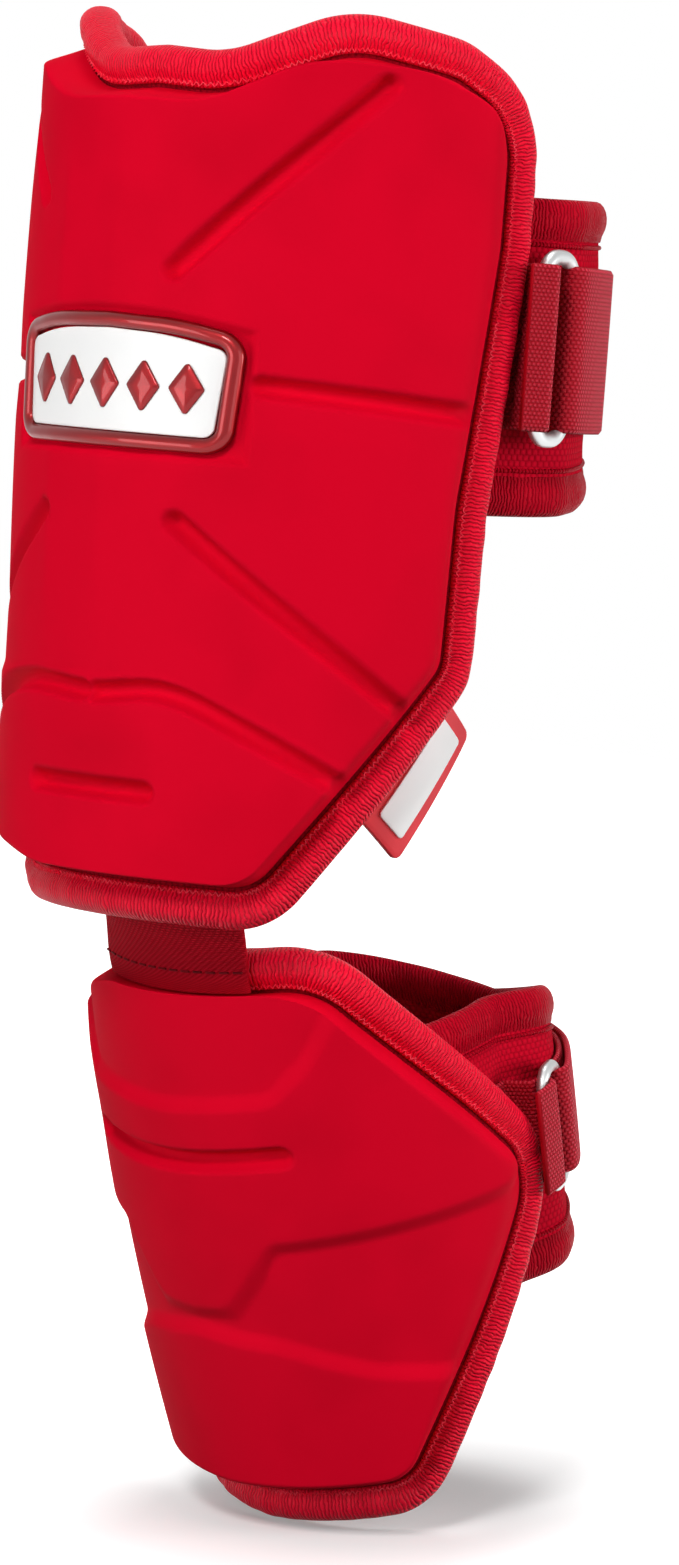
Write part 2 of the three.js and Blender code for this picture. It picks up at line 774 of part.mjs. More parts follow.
// The webbing's line where it lies over the strap, between two x; layer counts the webbings below it.
function overStrap(shell, from, to, layer) {
  const line = offsetLine(strapLine(shell), webbingOverStrap + layer * layerPitch);
  const after = line.findIndex((p) => p.x > from);
  const start = line[after - 1].clone().lerp(line[after], (from - line[after - 1].x) / (line[after].x - line[after - 1].x));
  const inside = line.filter((p) => p.x > from + 1 && p.x < to - 1);
  const next = line.findIndex((p) => p.x > to);
  const end = line[next - 1].clone().lerp(line[next], (to - line[next - 1].x) / (line[next].x - line[next - 1].x));
  return [start, ...inside, end];
}

const layerPitch = webbingThickness + webbingClearance;

// The turn of a webbing round one of the ring's bars, from under it to over it; towards is 1 or -1 along x.
function turnRound(shell, barX, towards) {
  const { barLift } = ringPlace(shell);
  return Array.from({ length: turnSteps + 1 }, (_, k) => {
    const angle = -Math.PI / 2 + (Math.PI * k) / turnSteps;
    const reach = towards * Math.cos(angle);
    return new THREE.Vector2(barX + reach * barTurn(shell), barLift + Math.sin(angle) * barTurn(shell));
  });
}

// From inside the shell, over the strap, round the near bar and back as far as the bound edge
function anchorWebbingGeometry(shell) {
  const { nearBarX, barLift } = ringPlace(shell);
  const side = sideX(shell);
  const last = Math.max(side + 1, nearBarX - barTurn(shell));
  return webbingGeometry(shell, [
    ...overStrap(shell, side - webbingTail, last, 0),
    ...turnRound(shell, nearBarX, 1),
    new THREE.Vector2(Math.min(side + shell.anchorEnd, nearBarX - 1), barLift + barTurn(shell) - shell.anchorDrop),
  ]);
}

// From inside the shell's far side, over the strap, round the far bar and back over itself
function pullWebbingGeometry(shell) {
  const { farBarX, barLift } = ringPlace(shell);
  const from = farBarX + barTurn(shell);
  const start = farSide(shell, sideX(shell) - webbingTail);
  const back = overStrap(shell, from, degreesToX(shell, shell.freeEnd), 1);
  return webbingGeometry(shell, [
    ...overStrap(shell, from, start, 0).reverse(),
    ...turnRound(shell, farBarX, -1),
    ...back.map((p) => new THREE.Vector2(p.x, mix(barLift + barTurn(shell), p.y, smooth((p.x - farBarX) / webbingSettle)))),
  ]);
}

// A flat outline as strips from its left to its right, each with its highest and lowest point, laid on the sheet
function stripsOf(outline, layOut) {
  const loop = roundedLoop(outline, cornerSteps);
  const reach = Math.max(...loop.map((p) => p.x)) * 0.999; // just inside the outline's two ends
  const crossings = (x) => loop.flatMap((p, i) => {
    const q = loop[(i + 1) % loop.length];
    return (p.x - x) * (q.x - x) > 0 || p.x === q.x ? [] : [mix(p.y, q.y, (x - p.x) / (q.x - p.x))];
  });
  return Array.from({ length: stripSteps + 1 }, (_, k) => {
    const x = -reach * Math.cos((Math.PI * k) / stripSteps);
    const hits = crossings(x);
    return [layOut(x, Math.max(...hits)), layOut(x, Math.min(...hits))];
  });
}

const slabOfStrips = (shell, strips, from, to) => channelCutter(shell, strips, from, to, 0);

// Badge pieces lie in a recess of the upper cap
function badgeStrips(grow) {
  const half = badge.halfWidth + grow;
  const tall = badge.height / 2 + grow;
  const corner = badge.corner + grow;
  const right = [
    { x: 0, y: tall, r: 0 },
    { x: half, y: tall - badge.arch, r: corner },
    { x: half - badge.inset, y: -tall, r: corner },
    { x: 0, y: -tall, r: 0 },
  ];
  const left = right.slice(1, -1).reverse().map((c) => ({ x: -c.x, y: c.y, r: c.r }));
  const middle = badge.middle * upper.height;
  return stripsOf([...right, ...left], (u, v) => new THREE.Vector2(u, v + middle));
}

const badgeFloor = upper.capHeight - badge.recess + gap;
const badgeRecess = () =>
  channelCutter(upper, badgeStrips(badge.recessMargin - 1), upper.capHeight - badge.recess, upper.capHeight + 1, 1);

function badgeFrameGeometry() {
  const top = badgeFloor + badge.frameThickness;
  const body = slabOfStrips(upper, badgeStrips(0), badgeFloor, top);
  return cut(body, [slabOfStrips(upper, badgeStrips(-badge.frameWidth), badgeFloor - 1, top + 1)]);
}

const badgePlateGeometry = () =>
  slabOfStrips(upper, badgeStrips(-badge.frameWidth - gap), badgeFloor, badgeFloor + badge.plateThickness);

function lozengeGeometry(index) {
  const middleX = (index - (badge.lozenges - 1) / 2) * badge.lozengePitch;
  const middleY = badge.middle * upper.height - badge.arch / 4;
  const floor = badgeFloor + badge.plateThickness + gap;
  const corners = [[0, 0.5], [0.5, 0], [0, -0.5], [-0.5, 0]].map(([u, v]) =>
    new THREE.Vector2(middleX + u * badge.lozengeWidth, middleY + v * badge.lozengeHeight));
  const crest = sheetPoint(upper, middleX, middleY, floor + badge.lozengeThickness);
  const ring = corners.map((p) => sheetPoint(upper, p.x, p.y, floor));
  const base = sheetPoint(upper, middleX, middleY, floor);
  const skin = new Skin();
  ring.forEach((p, i) => {
    const q = ring[(i + 1) % ring.length];
    skin.triangle(crest, q, p);
    skin.triangle(base, p, q);
  });
  return skin.geometry();
}

// The tag leaves from behind the slanting part of the bound edge; v runs outwards from that edge.
function tagStrips(length, low, high, corner) {
  const corners = cornersOf(upper, upper.edge);
  const from = new THREE.Vector2(corners[upper.sideTo - 1].x, corners[upper.sideTo - 1].y);
  const to = new THREE.Vector2(corners[upper.sideTo].x, corners[upper.sideTo].y);
  const centre = from.clone().lerp(to, tag.along);
  const along = from.clone().sub(to).normalize();
  const outwards = new THREE.Vector2(along.y, -along.x);
  const middle = (low + high) / 2;
  const half = (high - low) / 2;
  const outline = [[1, 1], [1, -1], [-1, -1], [-1, 1]].map(([u, v]) => ({ x: (u * length) / 2, y: v * half, r: corner }));
  return stripsOf(outline, (u, v) => centre.clone().addScaledVector(along, -u).addScaledVector(outwards, middle + v));
}

const tagOut = bindingInner - gap - facetAir - tag.thickness;
const tagGeometry = () =>
  slabOfStrips(upper, tagStrips(tag.length, -tag.hidden, tag.width - tag.hidden, tag.corner), tagOut, tagOut + tag.thickness);

function tagPanelGeometry() {
  const middle = (tag.width - tag.hidden) * 0.55;
  const from = tagOut + tag.thickness + gap;
  const strips = tagStrips(tag.panelLength, middle - tag.panelWidth / 2, middle + tag.panelWidth / 2, tag.corner / 2);
  return slabOfStrips(upper, strips, from, from + tag.panelThickness);
}

// The link is sewn inside the upper shell, leaves its panel and ends on the lower shell's binding. Its line over the
// lower shell goes straight on along that shell until it meets the upper panel.
function linkGeometry() {
  const half = link.thickness / 2;
  const inside = -backingThickness - gap - facetAir - half;
  const outside = gap + facetAir + bindingWall + gap + half;
  const lowerTop = lower.edge[0].along * lower.height;
  const lowerShare = meanRadius(lower) / (meanRadius(lower) + outside);
  const upperX = (x) => x - degreesToX(upper, upper.turn);
  const line = (x) => [
    sheetPoint(upper, upperX(x), link.tuck, inside),
    sheetPoint(upper, upperX(x), link.tuck - link.sewn, inside),
    sheetPoint(lower, x * lowerShare, lowerTop + link.free, outside + gap),
    sheetPoint(lower, x * lowerShare, lowerTop - bindingLeg / 3, outside + gap),
    sheetPoint(lower, x * lowerShare, lowerTop - bindingLeg + gap, outside),
  ];
  const grid = Array.from({ length: linkColumns + 1 }, (_, i) => {
    const x = mix(-0.5, 0.5, i / linkColumns) * link.width;
    const bend = new THREE.CatmullRomCurve3(line(x), false, "centripetal");
    return bend.getPoints(linkRows);
  });
  return thickened(grid, half);
}

function thickened(grid, half) {
  const normalAt = (i, j) => {
    const across = grid[Math.min(i + 1, grid.length - 1)][j].clone().sub(grid[Math.max(i - 1, 0)][j]);
    const down = grid[i][Math.min(j + 1, grid[i].length - 1)].clone().sub(grid[i][Math.max(j - 1, 0)]);
    return across.cross(down).normalize();
  };
  const side = (sign) => grid.map((row, i) => row.map((p, j) => p.clone().addScaledVector(normalAt(i, j), sign * half)));
  const front = side(1);
  const back = side(-1);
  const skin = new Skin();
  skin.sheet(front, false);
  skin.sheet(back, true);
  const frontBorder = borderOf(front);
  const backBorder = borderOf(back);
  frontBorder.forEach((p, i) => {
    const j = (i + 1) % frontBorder.length;
    skin.quad(p, frontBorder[j], backBorder[j], backBorder[i]);
  });
  return skin.geometry();
}

// Finishes
const finish = {
  foam: { color: 0xd4001f, roughness: 0.55, metalness: 0 },
  lining: { color: 0xb3061f, roughness: 0.9, metalness: 0 },
  binding: { color: 0xd80a28, roughness: 0.6, metalness: 0 },
  webbing: { color: 0xa5081f, roughness: 0.8, metalness: 0 },
  elastic: { color: 0x8c0519, roughness: 0.8, metalness: 0 },
  steel: { color: 0xb8bab9, roughness: 0.25, metalness: 1 },
  redChrome: { color: 0x8f0a12, roughness: 0.15, metalness: 0.9 },
  whitePlate: { color: 0xf2f2f0, roughness: 0.3, metalness: 0 },
  rubber: { color: 0xd92632, roughness: 0.5, metalness: 0 },
};
const materials = Object.fromEntries(
  Object.entries(finish).map(([name, values]) => [name, new THREE.MeshStandardMaterial(values)]));

const guard = new THREE.Group();
guard.name = "elbow_guard";

function add(name, geometry, material) {
  const mesh = new THREE.Mesh(geometry, materials[material]);
  mesh.name = name;
  guard.add(mesh);
}

for (const shell of [upper, lower]) {
  add(`${shell.prefix}_backing`, backingGeometry(shell), "lining");
  add(`${shell.prefix}_binding`, bindingGeometry(shell), "binding");
  add(`${shell.prefix}_cap`, capGeometry(shell, shell === upper ? [badgeRecess()] : []), "foam");
  add(`${shell.prefix}_strap`, strapGeometry(shell), "lining");
  add(`${shell.prefix}_strap_binding_top`, strapBindingGeometry(shell, "high"), "binding");
  add(`${shell.prefix}_strap_binding_bottom`, strapBindingGeometry(shell, "low"), "binding");
  add(`${shell.prefix}_ring`, ringGeometry(shell), "steel");
  add(`${shell.prefix}_anchor_webbing`, anchorWebbingGeometry(shell), "webbing");
  add(`${shell.prefix}_pull_webbing`, pullWebbingGeometry(shell), "webbing");
}
add("badge_frame", badgeFrameGeometry(), "redChrome");
add("badge_plate", badgePlateGeometry(), "whitePlate");
for (let i = 0; i < badge.lozenges; i++) add(`badge_lozenge_${i + 1}`, lozengeGeometry(i), "redChrome");
add("edge_tag", tagGeometry(), "rubber");
add("edge_tag_panel", tagPanelGeometry(), "whitePlate");
add("elbow_link", linkGeometry(), "elastic");

export default guard;
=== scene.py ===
import math

import bmesh
import bpy
import mathutils
import numpy as np
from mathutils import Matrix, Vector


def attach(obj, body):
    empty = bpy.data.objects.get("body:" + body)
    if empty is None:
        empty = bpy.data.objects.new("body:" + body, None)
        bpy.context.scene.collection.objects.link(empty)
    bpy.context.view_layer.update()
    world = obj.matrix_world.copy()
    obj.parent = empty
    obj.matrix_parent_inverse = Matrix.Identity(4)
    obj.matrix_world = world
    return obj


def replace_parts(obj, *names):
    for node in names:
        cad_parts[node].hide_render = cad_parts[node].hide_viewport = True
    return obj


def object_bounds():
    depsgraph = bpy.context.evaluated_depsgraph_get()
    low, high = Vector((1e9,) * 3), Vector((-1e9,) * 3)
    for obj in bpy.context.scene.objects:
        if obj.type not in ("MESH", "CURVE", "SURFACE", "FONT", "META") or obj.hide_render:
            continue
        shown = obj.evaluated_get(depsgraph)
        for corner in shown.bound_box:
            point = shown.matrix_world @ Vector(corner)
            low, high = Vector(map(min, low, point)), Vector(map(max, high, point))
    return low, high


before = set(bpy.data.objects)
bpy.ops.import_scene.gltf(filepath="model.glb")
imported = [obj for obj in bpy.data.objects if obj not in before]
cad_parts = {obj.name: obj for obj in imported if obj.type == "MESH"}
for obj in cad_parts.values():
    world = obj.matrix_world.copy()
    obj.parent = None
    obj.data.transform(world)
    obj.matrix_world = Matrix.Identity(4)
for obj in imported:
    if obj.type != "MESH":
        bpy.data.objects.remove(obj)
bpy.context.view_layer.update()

# A batter's elbow guard. Lengths are millimetres, until sheetPoint() puts them in metres.
# On a shell x runs round the arm from the front, y up from its lower edge, out off the panel's outer face.

panel = {"thickness": 4.0, "inset": 1.4, "bindingReach": 8.0, "bindingRise": 4.1, "capMargin": 0.9}

upperShell = {
    "name": "upper", "bottom": 8.0, "height": 200.0, "halfWrap": 91.5,
    "radiusBottom": 54.3, "radiusTop": 56.0, "belly": 1.6, "turn": 3.5, "lean": 6.0, "setBack": 0.0,
    "capHeight": 10.0,
    # corners as shares of halfWrap and height, with the corner's radius as a share of height
    "edge": [(0, 0.955, 0), (0.19, 0.95, 0.14), (0.495, 1.006, 0.15), (0.8, 0.982, 0.12),
             (1.037, 0.925, 0.12), (1.032, 0.76, 0.2), (0.952, 0.47, 0.3), (0.947, 0.285, 0.08),
             (0.462, 0, 0.1), (0, 0, 0)],
    "face": [(0, 0.895, 0), (0.185, 0.893, 0.1), (0.42, 0.95, 0.12), (0.63, 0.948, 0.1), (0.797, 0.918, 0.03),
             (0.797, 0.76, 0.2), (0.763, 0.5, 0.3), (0.757, 0.305, 0.05), (0.395, 0.05, 0.05), (0, 0.05, 0)],
    "sideFrom": 4, "sideTo": 8, "farTop": 3.5, "farBottom": 4.0,
    "strapWidth": 70.0, "strapMiddle": 0.645, "strapRise": 5.0, "strapDrop": -1.5, "strapStep": 22.0,
    "strapOut": 0.5, "ringAhead": 7.5, "ringWidth": 16.5, "ringWire": 3.4,
    "webbingWidth": 37.0, "webbingMiddle": 0.658, "anchorEnd": -4.0, "anchorDrop": 1.5, "freeEnd": 205.0,
}

lowerShell = {
    "name": "lower", "bottom": -125.0, "height": 138.0, "halfWrap": 103.0,
    "radiusBottom": 40.0, "radiusTop": 46.0, "belly": 3.0, "turn": 0.0, "lean": -10.5, "setBack": 16.5,
    "capHeight": 10.0,
    "edge": [(0, 0.985, 0), (0.47, 0.985, 0.18), (1.14, 0.53, 0.16), (0.56, -0.008, 0.14), (0, -0.022, 0)],
    "face": [(0, 0.935, 0), (0.4, 0.935, 0.14), (0.815, 0.58, 0.04), (0.49, 0.085, 0.06), (0, 0.075, 0)],
    "sideFrom": 1, "sideTo": 3, "farTop": 6.0, "farBottom": 0.0,
    "strapWidth": 69.0, "strapMiddle": 0.545, "strapRise": 3.0, "strapDrop": 14.0, "strapStep": 17.0,
    "strapOut": -3.0, "ringAhead": 5.7, "ringWidth": 13.5, "ringWire": 2.8,
    "webbingWidth": 25.0, "webbingMiddle": 0.566, "anchorEnd": -5.5, "anchorDrop": 0.0, "freeEnd": 200.0,
}


def mix(a, b, t):
    return a + (b - a) * t


def smooth(t):
    t = np.clip(t, 0, 1)
    return t * t * (3 - 2 * t)


def unit(vectors):
    return vectors / np.linalg.norm(vectors, axis=-1)[..., None]


def meanRadius(shell):
    return (shell["radiusBottom"] + shell["radiusTop"]) / 2 + shell["belly"] * 2 / 3


def halfWidth(shell):
    return math.radians(shell["halfWrap"]) * meanRadius(shell)


def degreesToX(shell, degrees):
    return math.radians(degrees) * meanRadius(shell)


def radiusAt(shell, y):  # a cone with a slight belly
    t = y / shell["height"]
    return mix(shell["radiusBottom"], shell["radiusTop"], t) + shell["belly"] * 4 * t * (1 - t)


def sheetPoint(shell, x, y, out):  # wrapped round the shell's axis, leaned about X, set back along Y
    x, y, out = np.broadcast_arrays(x, y, out)
    angle = x / meanRadius(shell) + math.radians(shell["turn"])
    radius = radiusAt(shell, y) + out
    across, deep, high = radius * np.sin(angle), -radius * np.cos(angle), shell["bottom"] + y
    lean = math.radians(shell["lean"])
    return 0.001 * np.stack([
        across,
        deep * math.cos(lean) + high * math.sin(lean) + shell["setBack"],
        high * math.cos(lean) - deep * math.sin(lean)], axis=-1)


def onSheet(shell, flat, out):  # flat holds x and y together
    return sheetPoint(shell, flat[..., 0], flat[..., 1], out)


# Outlines and paths

def lengthsAlong(path):  # each point's distance from the first
    return np.concatenate([[0], np.cumsum(np.linalg.norm(np.diff(path, axis=0), axis=1))])


def pointsAt(distances, lengths, path):
    return np.stack([np.interp(distances, lengths, path[:, k]) for k in range(path.shape[1])], axis=1)


def closedUp(loop):  # with the first point again at the end
    return np.concatenate([loop, loop[:1]])


def cornersOf(shell, table):
    width, height = halfWidth(shell), shell["height"]
    right = [(around * width, along * height, corner * height) for around, along, corner in table]
    return right + [(-x, y, r) for x, y, r in right[-2:0:-1]]


def roundedLoop(corners, steps):  # each corner becomes an arc tangent to both of its sides
    parts = []
    for i, (x, y, r) in enumerate(corners):
        here = np.array([x, y])
        if r == 0:
            parts.append(here[None])
            continue
        back = np.array(corners[i - 1][:2]) - here
        forth = np.array(corners[(i + 1) % len(corners)][:2]) - here
        back, forth = unit(back), unit(forth)
        half = math.acos(np.clip(back @ forth, -1, 1)) / 2
        centre = here + unit(back + forth) * r / math.sin(half)
        start = here + back * r / math.tan(half) - centre
        end = here + forth * r / math.tan(half) - centre
        turn = math.atan2(start[0] * end[1] - start[1] * end[0], start @ end)
        a = turn * np.linspace(0, 1, steps + 1)[:, None]
        parts.append(centre + start * np.cos(a) + np.array([-start[1], start[0]]) * np.sin(a))
    return np.concatenate(parts)


def alongPath(path, count):  # equal steps of arc length, ends included
    lengths = lengthsAlong(path)
    return pointsAt(np.linspace(0, lengths[-1], count), lengths, path)


def evenLoop(loop, count):
    return alongPath(closedUp(loop), count + 1)[:-1]


def throughPoints(points, count):  # Catmull-Rom curve through the points
    padded = np.concatenate([2 * points[:1] - points[1:2], points, 2 * points[-1:] - points[-2:-1]])
    spans = len(points) - 1
    t = np.linspace(0, spans, count)
    i = np.minimum(t.astype(int), spans - 1)
    f = (t - i)[:, None]
    a, b, c, d = padded[i], padded[i + 1], padded[i + 2], padded[i + 3]
    square, cube = 2 * a - 5 * b + 4 * c - d, 3 * b - a - 3 * c + d
    return 0.5 * (2 * b + (c - a) * f + square * f ** 2 + cube * f ** 3)


def softened(path, reach):  # moving average that keeps the ends
    padded = np.concatenate([np.repeat(path[:1], reach, 0), path, np.repeat(path[-1:], reach, 0)])
    kernel = np.ones(2 * reach + 1) / (2 * reach + 1)
    return np.stack([np.convolve(padded[:, k], kernel, "valid") for k in range(path.shape[1])], axis=1)


def fourSides(shell, table, columns, rows):  # split at the middles of two corners and their mirror images
    steps = 24
    corners = cornersOf(shell, table)
    loop = roundedLoop(corners, steps)
    starts = np.cumsum([0] + [steps + 1 if r else 1 for _, _, r in corners])
    first = starts[shell["sideFrom"]] + steps // 2
    last = starts[shell["sideTo"]] + steps // 2
    flip = np.array([-1, 1])
    side = loop[first:last + 1]
    topHalf = loop[:first + 1]
    bottomEnd = starts[len(table) - 1]
    bottomHalf = loop[last:bottomEnd + 1]
    top = np.concatenate([topHalf[:0:-1] * flip, topHalf])
    bottom = np.concatenate([bottomHalf, bottomHalf[-2::-1] * flip])[::-1]
    return (alongPath(top, columns + 1), alongPath(side, rows + 1),
            alongPath(bottom, columns + 1), alongPath(side * flip, rows + 1))


def filledPatch(top, right, bottom, left):  # Coons patch: rows from the top down, columns from left to right
    v = np.linspace(0, 1, len(left))[:, None, None]
    u = np.linspace(0, 1, len(top))[None, :, None]
    corners = mix(mix(top[0], top[-1], u), mix(bottom[0], bottom[-1], u), v)
    return mix(top[None], bottom[None], v) + mix(left[:, None], right[:, None], u) - corners


def borderOf(patch):  # one loop, clockwise from the top left corner
    return np.concatenate([patch[0, :-1], patch[:-1, -1], patch[-1, :0:-1], patch[:0:-1, 0]])


def inwardOf(loop):  # unit normals of a clockwise loop, pointing inside
    along = unit(np.roll(loop, -3, 0) - np.roll(loop, 3, 0))
    return np.stack([along[:, 1], -along[:, 0]], axis=1)


def edgeLoop(shell, count):
    columns = int(count * 0.28)      # for each of the top and the bottom, the rest for the sides
    sides = fourSides(shell, shell["edge"], columns, count // 2 - columns)
    return evenLoop(borderOf(filledPatch(*sides)), count)


# Meshes

def gridSurface(points, uv=None, closedAcross=False, closedAlong=False):
    # quads between neighbours of a grid of points; uv may have one more row or column where the grid closes
    rows, columns = points.shape[:2]
    spans = np.arange(rows - 1 + closedAlong), np.arange(columns - 1 + closedAcross)
    j, i = np.meshgrid(*spans, indexing="ij")
    order = [(0, 0), (1, 0), (1, 1), (0, 1)]
    faces = np.stack([((j + dj) % rows) * columns + (i + di) % columns for dj, di in order], axis=-1)
    if uv is None:
        uv = np.zeros((rows + closedAlong, columns + closedAcross, 2))
    corners = np.stack([uv[(j + dj) % uv.shape[0], (i + di) % uv.shape[1]] for dj, di in order], axis=-2)
    return points.reshape(-1, 3), faces.reshape(-1, 4), corners.reshape(-1, 4, 2)


def lengthsUv(rows, columns):  # uv in millimetres from the lengths along rows and across columns
    return np.stack(np.broadcast_arrays(np.asarray(rows)[:, None], np.asarray(columns)[None, :]), axis=-1)


def endCap(ring):  # closes a tube with a fan
    return gridSurface(np.stack([ring, np.broadcast_to(ring.mean(axis=0), ring.shape)]), closedAcross=True)


def makePiece(name, surfaces, finish):
    starts = np.cumsum([0] + [len(points) for points, _, _ in surfaces])
    points = np.concatenate([s[0] for s in surfaces])
    faces = np.concatenate([s[1] + start for s, start in zip(surfaces, starts)])
    corners = np.concatenate([s[2] for s in surfaces])
    microns = np.round(points * 1e6).astype(np.int64)      # points of one micron become one vertex
    _, first, same = np.unique(microns, axis=0, return_index=True, return_inverse=True)
    points, faces = points[first], same.reshape(-1)[faces]
    apart = faces != np.roll(faces, -1, axis=1)
    quads = apart.all(axis=1)
    threes = apart.sum(axis=1) == 3
    loops = [face[keep].tolist() for face, keep in zip(faces[threes], apart[threes])]
    mesh = bpy.data.meshes.new(name)
    mesh.from_pydata(points.tolist(), [], faces[quads].tolist() + loops)
    uv = np.concatenate([corners[quads].reshape(-1), corners[threes][apart[threes]].reshape(-1)])
    mesh.uv_layers.new(name="cloth").data.foreach_set("uv", uv.astype(np.float32))
    mesh.polygons.foreach_set("use_smooth", np.ones(len(mesh.polygons), bool))
    shape = bmesh.new()
    shape.from_mesh(mesh)
    bmesh.ops.recalc_face_normals(shape, faces=shape.faces)
    shape.to_mesh(mesh)
    shape.free()
    mesh.materials.append(finishes[finish])
    piece = bpy.data.objects.new(name, mesh)
    bpy.context.scene.collection.objects.link(piece)
    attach(piece, "root")
    return piece


def tubeSurface(path, radius, sides, closed):  # a round wire along a path of points in metres
    along = np.roll(path, -1, 0) - np.roll(path, 1, 0) if closed else np.gradient(path, axis=0)
    along = unit(along)
    side = np.cross(along, path - path.mean(axis=0))
    side /= np.linalg.norm(side, axis=1)[:, None] + 1e-12
    rise = np.cross(side, along)
    angle = np.linspace(0, 2 * math.pi, sides, endpoint=False)[None, :, None]
    rings = path[:, None] + radius * (np.cos(angle) * side[:, None] + np.sin(angle) * rise[:, None])
    lengths = 1000 * lengthsAlong(path)
    rows = np.append(lengths, lengths[-1] + 1) if closed else lengths
    uv = lengthsUv(rows, np.linspace(0, 2 * math.pi * radius * 1000, sides + 1))
    surfaces = [gridSurface(rings, uv, closedAcross=True, closedAlong=closed)]
    if not closed:
        surfaces += [endCap(rings[0]), endCap(rings[-1])]
    return surfaces


# Shader node groups that several finishes share

def newGroup(name, numbers, results):  # takes a vector and numbers, gives numbers
    group = bpy.data.node_groups.new(name, "ShaderNodeTree")
    group.interface.new_socket(name="Vector", in_out="INPUT", socket_type="NodeSocketVector")
    for label, value in numbers.items():
        socket = group.interface.new_socket(name=label, in_out="INPUT", socket_type="NodeSocketFloat")
        socket.default_value = value
    for label in results:
        group.interface.new_socket(name=label, in_out="OUTPUT", socket_type="NodeSocketFloat")
    return group, group.nodes.new("NodeGroupInput"), group.nodes.new("NodeGroupOutput")


def splitVector(tree, vector):
    node = tree.nodes.new("ShaderNodeSeparateXYZ")
    tree.links.new(vector, node.inputs[0])
    return node.outputs


def mathNode(tree, operation, *values):
    node = tree.nodes.new("ShaderNodeMath")
    node.operation = operation
    for socket, value in zip(node.inputs, values):
        if isinstance(value, (int, float)):
            socket.default_value = value
        else:
            tree.links.new(value, socket)
    return node.outputs[0]


def ridgeOf(tree, value):  # 0 at the ends of each unit and 1 in its middle
    part = mathNode(tree, "FRACT", value)
    product = mathNode(tree, "MULTIPLY", part, mathNode(tree, "SUBTRACT", 1.0, part))
    return mathNode(tree, "MULTIPLY", product, 4.0)


def weaveGroup():  # rows of short floats, each row half a float on, that stand up between their neighbours
    group, given, result = newGroup(
        "weave", {"Float Length": 1.6, "Row Width": 1.1, "Slant": 0.5}, ["Height", "Crown"])
    place = splitVector(group, given.outputs["Vector"])
    row = mathNode(group, "DIVIDE", place[1], given.outputs["Row Width"])
    shift = mathNode(group, "MULTIPLY", mathNode(group, "FLOOR", row), given.outputs["Slant"])
    along = mathNode(group, "ADD", mathNode(group, "DIVIDE", place[0], given.outputs["Float Length"]), shift)
    height = mathNode(group, "MULTIPLY", mathNode(group, "SQRT", ridgeOf(group, row)), ridgeOf(group, along))
    group.links.new(height, result.inputs["Height"])
    group.links.new(mathNode(group, "POWER", height, 3.0), result.inputs["Crown"])
    return group


def ribGroup():  # ribs across the length, each a little uneven
    group, given, result = newGroup("ribs", {"Pitch": 1.1, "Unevenness": 0.35}, ["Height"])
    noise = group.nodes.new("ShaderNodeTexNoise")
    noise.inputs["Scale"].default_value = 0.45
    noise.inputs["Detail"].default_value = 2.0
    group.links.new(given.outputs["Vector"], noise.inputs["Vector"])
    place = splitVector(group, given.outputs["Vector"])
    wander = mathNode(group, "MULTIPLY", noise.outputs[0], given.outputs["Unevenness"])
    along = mathNode(group, "ADD", mathNode(group, "DIVIDE", place[0], given.outputs["Pitch"]), wander)
    group.links.new(ridgeOf(group, along), result.inputs["Height"])
    return group


def grainGroup():  # soft cloudy tone and fine grain
    group, given, result = newGroup("grain", {"Fine Scale": 2500.0, "Cloud Scale": 25.0}, ["Fine", "Cloud"])
    for label, scale, detail in (("Fine", "Fine Scale", 3.0), ("Cloud", "Cloud Scale", 2.0)):
        noise = group.nodes.new("ShaderNodeTexNoise")
        noise.inputs["Detail"].default_value = detail
        group.links.new(given.outputs["Vector"], noise.inputs["Vector"])
        group.links.new(given.outputs[scale], noise.inputs["Scale"])
        group.links.new(noise.outputs[0], result.inputs[label])
    return group


weave, ribs, grain = weaveGroup(), ribGroup(), grainGroup()


class Finish:  # a material under way: its principled shader, and the helpers that the finishes use
    def __init__(self, name, color, roughness, **sockets):
        self.material = bpy.data.materials.new(name)
        self.material.use_nodes = True
        self.tree = self.material.node_tree
        self.shader = self.tree.nodes["Principled BSDF"]
        self.shader.inputs["Base Color"].default_value = (*color, 1)
        self.shader.inputs["Roughness"].default_value = roughness
        for label, value in sockets.items():
            self.shader.inputs[label.replace("_", " ")].default_value = value
        self.coordinates = self.tree.nodes.new("ShaderNodeTexCoord")

    def place(self, group, vector, **values):
        node = self.tree.nodes.new("ShaderNodeGroup")
        node.node_tree = group
        self.tree.links.new(self.coordinates.outputs[vector], node.inputs["Vector"])
        for label, value in values.items():
            node.inputs[label.replace("_", " ")].default_value = value
        return node

    def blend(self, first, second, factor):  # base colour between two colours or sockets
        node = self.tree.nodes.new("ShaderNodeMix")
        node.data_type = "RGBA"
        for socket, value in ((node.inputs[6], first), (node.inputs[7], second)):
            if isinstance(value, tuple):
                socket.default_value = (*value, 1)
            else:
                self.tree.links.new(value, socket)
        self.tree.links.new(factor, node.inputs[0])
        return node.outputs[2]

    def paint(self, color):
        self.tree.links.new(color, self.shader.inputs["Base Color"])

    def ramp(self, value, low, high):
        node = self.tree.nodes.new("ShaderNodeMapRange")
        node.inputs["From Min"].default_value, node.inputs["From Max"].default_value = low, high
        self.tree.links.new(value, node.inputs["Value"])
        return node.outputs[0]

    def bump(self, layers):  # layers of (height, depth in metres, strength), one over the other
        normal = None
        for height, depth, strength in layers:
            node = self.tree.nodes.new("ShaderNodeBump")
            node.inputs["Strength"].default_value = strength
            node.inputs["Distance"].default_value = depth
            self.tree.links.new(height, node.inputs["Height"])
            if normal is not None:
                self.tree.links.new(normal, node.inputs["Normal"])
            normal = node.outputs[0]
        self.tree.links.new(normal, self.shader.inputs["Normal"])


